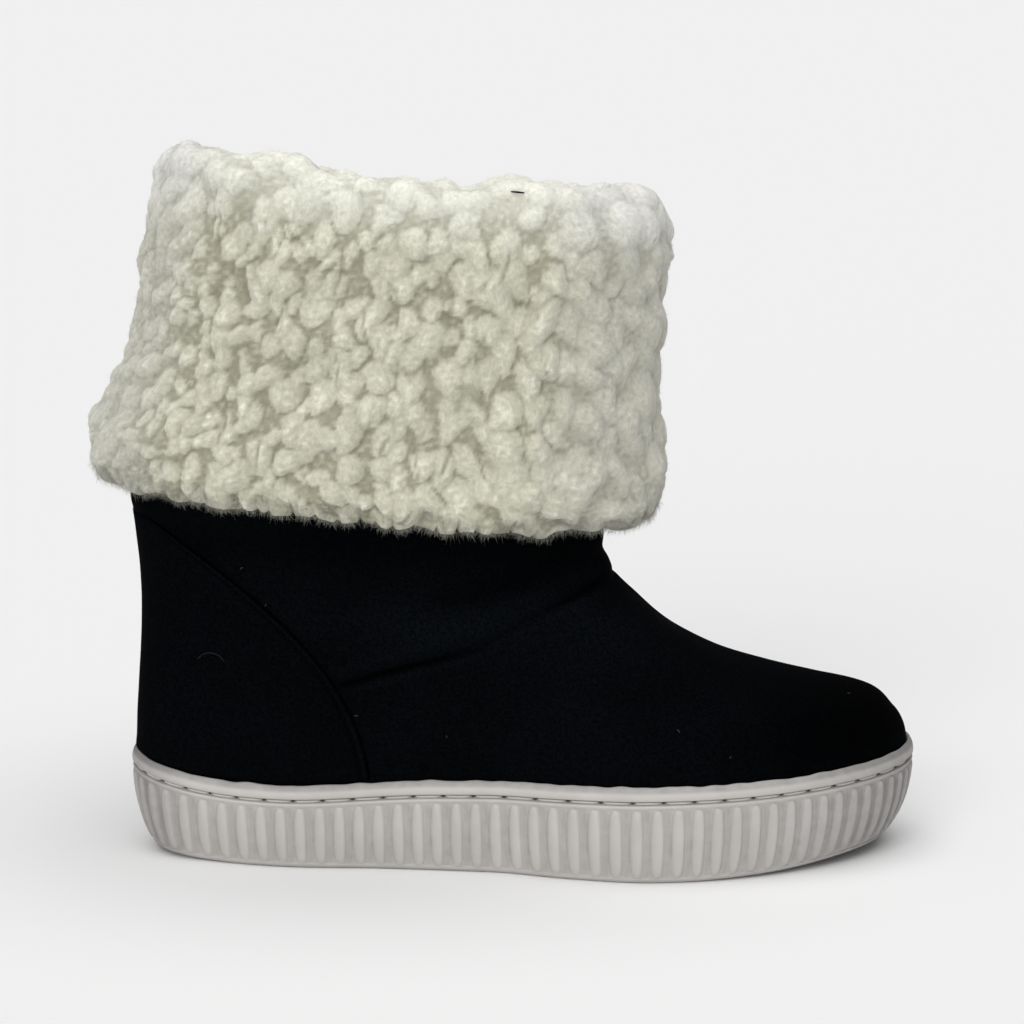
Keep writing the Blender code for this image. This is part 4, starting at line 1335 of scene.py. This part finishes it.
def grow_fleece(skin):
    """Locks on a skin: the fleece, and the place of each point along its strand."""
    rng = np.random.default_rng(LOCK_SEED)
    shape = skin.points.shape[:2]
    spacing = (np.mean(np.diff(skin.t)), skin.around / shape[1])

    def noise(wave, rows=shape[0], squeeze=1.0):
        return soft_noise(rng, (rows, shape[1]), (squeeze * spacing[0], spacing[1]), wave)

    def soften(field, soft, width=MERGE_WIDTH):
        return mix(field, blur(field, spacing, width), soft)

    locks = scatter_locks(rng, skin, LOCK_SPACING, LOCK_RISE, LOCK_TRIES)
    curls = scatter_locks(rng, skin, CURL_SPACING, CURL_RISE, CURL_TRIES)
    warp = [WARP * (noise(WARP_WAVE) + WARP_FINE * noise(FINE_WAVE)) for _ in "at"]
    lumps, leader, best, across, along = lock_field(locks, skin, warp)
    ground = GROUND * np.median(lumps)
    lumps = (lumps**GROUND_POWER + ground**GROUND_POWER) ** (1 / GROUND_POWER)
    small = lock_field(curls, skin, warp)[0]
    fluff, billow, waver = noise(FLUFF_WAVE), noise(BILLOW_WAVE), noise(WAVER_WAVE, rows=1)

    fold = zone_step(skin.zones.fold, HAZE_START, skin.t)[:, None]
    past_hem = smooth_step(*HEM_SPAN, skin.t)[:, None]
    row = np.arange(shape[0])[:, None]
    alive = smooth_step(HEM_ALIVE[0] * HEM_ROWS, HEM_ALIVE[1] * HEM_ROWS, row)
    alive = alive * (1 - smooth_step(shape[0] - TURN_ROWS - 2, shape[0], row))
    to_heel = np.cos(skin.theta)
    heel_end, front_end = smooth_step(*HEEL_END, to_heel), smooth_step(*FRONT_END, -to_heel)
    ends = heel_end + front_end
    patches = smooth_step(0.0, 1.4, noise(BILLOW_WAVE))
    firm = 1 - HEEL_SOFT * heel_end - FRONT_SOFT * front_end
    firm = firm * (1 - PATCH_SOFT * patches) * (1 - FOLD_SOFT * fold)
    soft = (1 - firm) * mix(HEM_SOFT, 1, past_hem)
    furrow = bell(noise(FURROW_PITCH, squeeze=FURROW_LENGTH) / FURROW_WIDTH)
    furrow = furrow * smooth_step(-0.3, 0.9, noise(FURROW_GAPS)) * (1 - fold) * (1 - ends)

    height = soften(lumps + small * (1 - 0.5 * fold), soft) - FURROW * furrow
    rise = alive * (height - np.mean(height) + FLUFF * fluff + BILLOW * billow * (1 - 0.5 * ends))
    dir_a, dir_t = locks.dir_a[leader], locks.dir_t[leader]
    sway, fall = (soften(way, 1, MERGE_WIDTH / 2)[..., None] for way in (dir_a, dir_t))
    normals = grid_normals(skin.points)
    along_t = unit(np.gradient(skin.points, axis=0))
    hang = unit(np.cross(along_t, normals)) * sway + along_t * fall
    points = skin.points + normals * rise[..., None] + hang * (LOCK_DROOP * alive * lumps)[..., None]
    tufts = bell(noise(TUFT_WAVE, rows=1) / TUFT_NOTCH) - TUFT_MEAN
    lift = HEM_WAVER * waver + HEM_TUFT * tufts + np.where(to_heel > 0, *HEM_LIFT) * to_heel**8
    points[..., 2] += lift * (1 - past_hem) + follow_crest(points, skin)

    own = soften(best / locks.rise[leader], soft)
    relief = Relief(height, own, furrow, fluff, fold, ends)
    tint = paint_fleece(rng, skin, relief, leader, len(locks.a))
    strand = np.stack([across, along, leader], axis=-1) * STRAND_SCALE
    return Fleece(points, grid_normals(points), tint, dir_a, dir_t), strand


def make_cuff():
    """Turned-down fleece: locks outside, a soft roll over the fold and a short turn inside the collar."""
    even = np.linspace(0, TURN, RUN_SAMPLES)
    middle = cuff_points(even, np.full_like(even, 0.5), cuff_depth(even, 0.5), np.zeros_like(even))
    run = run_along(middle)
    around = run[-1]
    a = np.arange(CUFF_COLUMNS) * around / CUFF_COLUMNS
    theta = np.interp(a, run, even)[None, :]
    points = cuff_skin(theta)
    t = run_along(points[:, CUFF_COLUMNS // 4])
    fold = HEM_ROWS + FACE_ROWS
    zones = Zones(t[2], t[fold], t[fold + ROLL_ROWS], t[-3])
    fleece, strand = grow_fleece(Skin(points, theta, a, t, around, zones))
    back = cuff_back(theta)
    whole = np.concatenate([fleece.points, back])
    tint = opaque(fleece.tint, np.broadcast_to(HIDDEN_WOOL, back.shape))
    strand = np.concatenate([strand, np.zeros(back.shape)]).reshape(-1, 3)
    faces = [grid_faces(len(whole), CUFF_COLUMNS, wrap_rows=True)]
    wool = fleece_material("fleece", 0.7)
    new_piece("fleece_locks", whole, faces, wool, "fleece", "fleece_cuff", tint=tint, strand=strand)
    return fleece


def make_pile(name, fleece, rng, material, columns, rows, pile):
    """Fibres of the fleece as thin closed spindles, bent in the middle, that follow the locks."""
    count = pile.count
    r = rng.uniform(*rows, count)
    c = rng.uniform(*columns, count)
    r0, c0 = r.astype(int), c.astype(int) % CUFF_COLUMNS
    r1, c1 = r0 + 1, (c0 + 1) % CUFF_COLUMNS
    fr, fc = (r - r0)[:, None], (c - np.floor(c))[:, None]
    p = fleece.points
    root = mix(mix(p[r0, c0], p[r0, c1], fc), mix(p[r1, c0], p[r1, c1], fc), fr)
    normal = fleece.normals[r0, c0]
    along_t = unit(p[r1, c0] - p[r0, c0])
    along_a = unit(np.cross(along_t, normal))
    lie = unit(along_a * fleece.dir_a[r0, c0, None] + along_t * fleece.dir_t[r0, c0, None])
    long = rng.uniform(*pile.length, count)[:, None]
    strays = rng.normal(0, FIBRE_STRAY, (2, count, 3))
    first, second = (
        unit(lie * half.lie + normal * half.stand + stray - UP * (half.droop + half.hang * pile.hang))
        for half, stray in zip(FIBRE_HALVES, strays)
    )
    root = root - normal * FIBRE_ROOT
    bend = root + first * long * 0.5
    tip = bend + second * long * 0.5
    side = unit(np.cross(first + second, rng.normal(0, 1, (count, 3))))
    other = unit(np.cross(first + second, side))
    radius = pile.radius * rng.uniform(*FIBRE_RADII, count)[:, None]
    turns = np.radians((0, 120, 240))
    ring = [bend + (side * math.cos(turn) + other * math.sin(turn)) * radius for turn in turns]
    points = np.stack([root, *ring, tip], axis=1)
    size = points.shape[1]
    faces = (np.arange(count)[:, None, None] * size + SPINDLE).reshape(-1, 3)
    tint = fleece.tint[r0, c0] * pile.shade * rng.uniform(*FIBRE_SHADES, (count, 1))
    tint = opaque(np.repeat(np.clip(tint, 0, FIBRE_PALEST), size, axis=0))
    new_piece(name, points, [faces], material, "fleece", tint=tint)


def make_piles(fleece):
    rng = np.random.default_rng(PILE_SEED)
    fibre = fleece_material("fleece_fibre")
    half, whole = CUFF_COLUMNS // 2, CUFF_COLUMNS
    fold = HEM_ROWS + FACE_ROWS
    for name, columns, rows, pile in (
        ("pile_outer_side", (0, half), (HEM_ROWS, fold), FACE_PILE),
        ("pile_inner_side", (half, whole), (HEM_ROWS, fold), FACE_PILE),
        ("pile_fold", (0, whole), (fold, fold + ROLL_ROWS + INSIDE_ROWS), FOLD_PILE),
        ("pile_hem", (0, whole), (4, HEM_ROWS + 8), HEM_PILE),
    ):
        make_pile(name, fleece, rng, fibre, columns, rows, pile)


# Inside


def make_lining():
    """Fleece on the wall inside the shaft and the foot, from the cuff's inside turn down to the foot bed."""
    theta = angles_round(LINING_COLUMNS)
    uneven = np.linspace(*LINING_ENDS, 200)
    height = upper_face(np.full_like(uneven, math.pi / 2), uneven)[:, 2]
    rows = np.interp(np.linspace(height[-1], height[0], LINING_ROWS), height, uneven)[:, None]
    rng = np.random.default_rng(LOCK_SEED + 1)
    shape = (LINING_ROWS, LINING_COLUMNS)
    broad, share, fine = LINING_WAVES
    tufts = np.abs(soft_noise(rng, shape, LINING_CELL, broad))
    tufts = tufts + share * soft_noise(rng, shape, LINING_CELL, fine)
    base, swell = LINING_TUFTS
    depth = LINING_DEPTH * (base + swell * np.clip(tufts, -1, 2.2))
    face = upper_face(theta, rows) - upper_normals(theta, rows) * (WALL + GAP + depth)[..., None]
    bed = foot_bed(theta) + INSOLE_THICKNESS + 2 * GAP
    foot = outline(theta, INSOLE_INSET + depth[-1:] - GAP, bed)
    foot = mix(face[-1:], foot, np.linspace(0.25, 1, 4)[:, None, None])
    behind = outline(theta, FEATHER_INSET + WALL + GAP, bed)
    back_rows = np.linspace(*LINING_ENDS, 14)[:, None]
    back = upper_face(theta, back_rows) - upper_normals(theta, back_rows) * (WALL + GAP)
    points = np.concatenate([face, foot, behind, back])
    # painted shade in the hollows between the tufts
    tint = mix(*LINING_TINT, smooth_step(0.1, 1.4, tufts)[..., None])
    hidden = np.full((1 + len(back), LINING_COLUMNS, 3), 0.5)
    tint = opaque(tint, np.repeat(tint[-1:], len(foot), axis=0), hidden)
    faces = [grid_faces(len(points), LINING_COLUMNS, wrap_rows=True)]
    new_piece("lining", points, faces, fleece_material("lining"), "fleece", tint=tint)


def make_insole():
    """Foot bed under a short pile."""
    theta = angles_round(INSOLE_COLUMNS)
    low = foot_bed(theta) + GAP
    top = low + INSOLE_THICKNESS
    drop, width = INSOLE_EDGE
    under = outline(theta, INSOLE_INSET, low)
    edge = outline(theta, INSOLE_INSET, top - drop)
    rim = outline(theta, INSOLE_INSET + width, top)
    spine = rim.copy()
    spine[..., 1] = 0.5 * (rim[..., 1] + rim[:, ::-1, 1])
    field = mix(rim, spine, INSOLE_SHARES[..., None])
    rng = np.random.default_rng(LOCK_SEED + 2)
    tufts = soft_noise(rng, field.shape[:2], INSOLE_CELL, INSOLE_WAVE)
    field[..., 2] += INSOLE_TUFTS * tufts * (1 - INSOLE_SHARES**6)
    points = np.concatenate([under, edge, field])
    # painted shade in the hollows between the tufts
    tint = mix(*BED_TINT, smooth_step(-1.2, 0.8, tufts)[..., None])
    tint = opaque(np.full(under.shape, 0.6), np.full(edge.shape, 0.6), tint)
    faces = closed_faces(len(points), INSOLE_COLUMNS)
    new_piece("foot_bed", points, faces, fleece_material("foot_bed"), "sock", "insole", tint=tint)


# Lint


def on_skin(skin, places, tilt=0.0):
    """Points of an outer side at an x from the heel and a height as seen, with their normals."""
    normals = grid_normals(skin).reshape(-1, 3)
    flat = skin.reshape(-1, 3)
    height = flat[:, 2] + tilt * (flat[:, 1] - NEAR_CREST)
    away = np.where(normals[:, 1] - tilt * normals[:, 2] < -0.1, 0, 1e3)
    found = [np.argmin(np.hypot(flat[:, 0] - HEEL_X - x, height - z) + away) for x, z in places]
    return flat[found], normals[found]


def make_lint(skin, fleece):
    """A pale hair and a few flecks of fleece that lie on the nubuck, and a dark thread on the fleece."""
    rng = np.random.default_rng(LOCK_SEED + 3)
    points, normals = (values[:, None] for values in on_skin(skin, LINT))
    along = unit(np.cross(normals, rng.normal(0, 1, points[:, 0].shape)[:, None]))
    t = np.linspace(-1, 1, 5)
    size = rng.uniform(*LINT_SIZES, (len(points), 1, 1))
    curl = along * t[:, None] + np.cross(normals, along) * t[:, None] ** 2 * LINT_CURL
    centres = points + normals * (LINT_RISE + GAP) + curl * size
    flecks = tubes(centres, np.repeat(normals, len(t), axis=1), LINT_RADIUS * np.sqrt(1.05 - t**2))

    line, lean = on_skin(skin, HAIR)
    line = line + lean * (COUNTER_RISE + HAIR_RISE)
    share, fine = np.linspace(0, 1, len(line)), np.linspace(0, 1, HAIR_STATIONS)
    centres, out = (
        np.stack([curve(share, values[:, k], fine) for k in range(3)], axis=-1)[None]
        for values in (line, lean)
    )
    hair = tubes(centres, unit(out), np.full(HAIR_STATIONS, HAIR_RADIUS), sides=5)
    new_piece("lint", *join([flecks, hair]), thread_material("lint", LINT_THREAD), "fleece")

    near = fleece.points[: HEM_ROWS + FACE_ROWS + ROLL_ROWS, : CUFF_COLUMNS // 2]
    line, lean = on_skin(near, DASH, CREST_VIEW)
    line = line + lean * DASH_RISE
    centres, out = (np.stack([ends[0], ends.mean(axis=0), ends[1]])[None] for ends in (line, lean))
    dark = thread_material("stray_thread", DARK_THREAD)
    new_piece("stray_thread", *tubes(centres, unit(out), DASH_RADII), dark, "fleece")


# Stage


def make_stage():
    """Pale floor, soft light from all round and from the front above, and the camera."""
    scene = bpy.context.scene
    mesh = bpy.data.meshes.new("floor")
    corners = [(x * FLOOR_HALF, y * FLOOR_HALF, 0) for x, y in ((-1, -1), (1, -1), (1, 1), (-1, 1))]
    mesh.from_pydata(corners, [], [(0, 1, 2, 3)])
    material, _, _ = new_material("floor", Base_Color=FLOOR_COLOUR, Roughness=0.9, Specular_IOR_Level=0.0)
    mesh.materials.append(material)
    floor = bpy.data.objects.new("floor", mesh)
    scene.collection.objects.link(floor)

    world = bpy.data.worlds.new("studio")
    world.use_nodes = True
    sky = world.node_tree.nodes["Background"]
    sky.inputs["Color"].default_value = (1, 1, 1, 1)
    sky.inputs["Strength"].default_value = SKY
    scene.world = world
    for row in LAMPS:
        sun = bpy.data.lights.new(row.name, "SUN")
        sun.energy = row.strength
        sun.angle = math.radians(row.spread)
        lamp = bpy.data.objects.new(row.name, sun)
        lamp.rotation_euler = (math.radians(row.tilt), 0, math.radians(row.turn))
        scene.collection.objects.link(lamp)

    camera = bpy.data.cameras.new("camera")
    camera.lens = CAMERA_LENS
    camera.sensor_width = SENSOR
    viewer = bpy.data.objects.new("camera", camera)
    viewer.location = CAMERA_PLACE
    viewer.rotation_euler = (CAMERA_TILT, 0, 0)
    scene.collection.objects.link(viewer)
    scene.camera = viewer
    scene.view_settings.view_transform = "Standard"


def main():
    make_stage()
    nubuck = nubuck_material()
    make_sole()
    make_rim_stitches()
    skin = make_upper(nubuck)
    make_counter(nubuck)
    fleece = make_cuff()
    make_piles(fleece)
    make_lining()
    make_insole()
    make_lint(skin, fleece)


main()
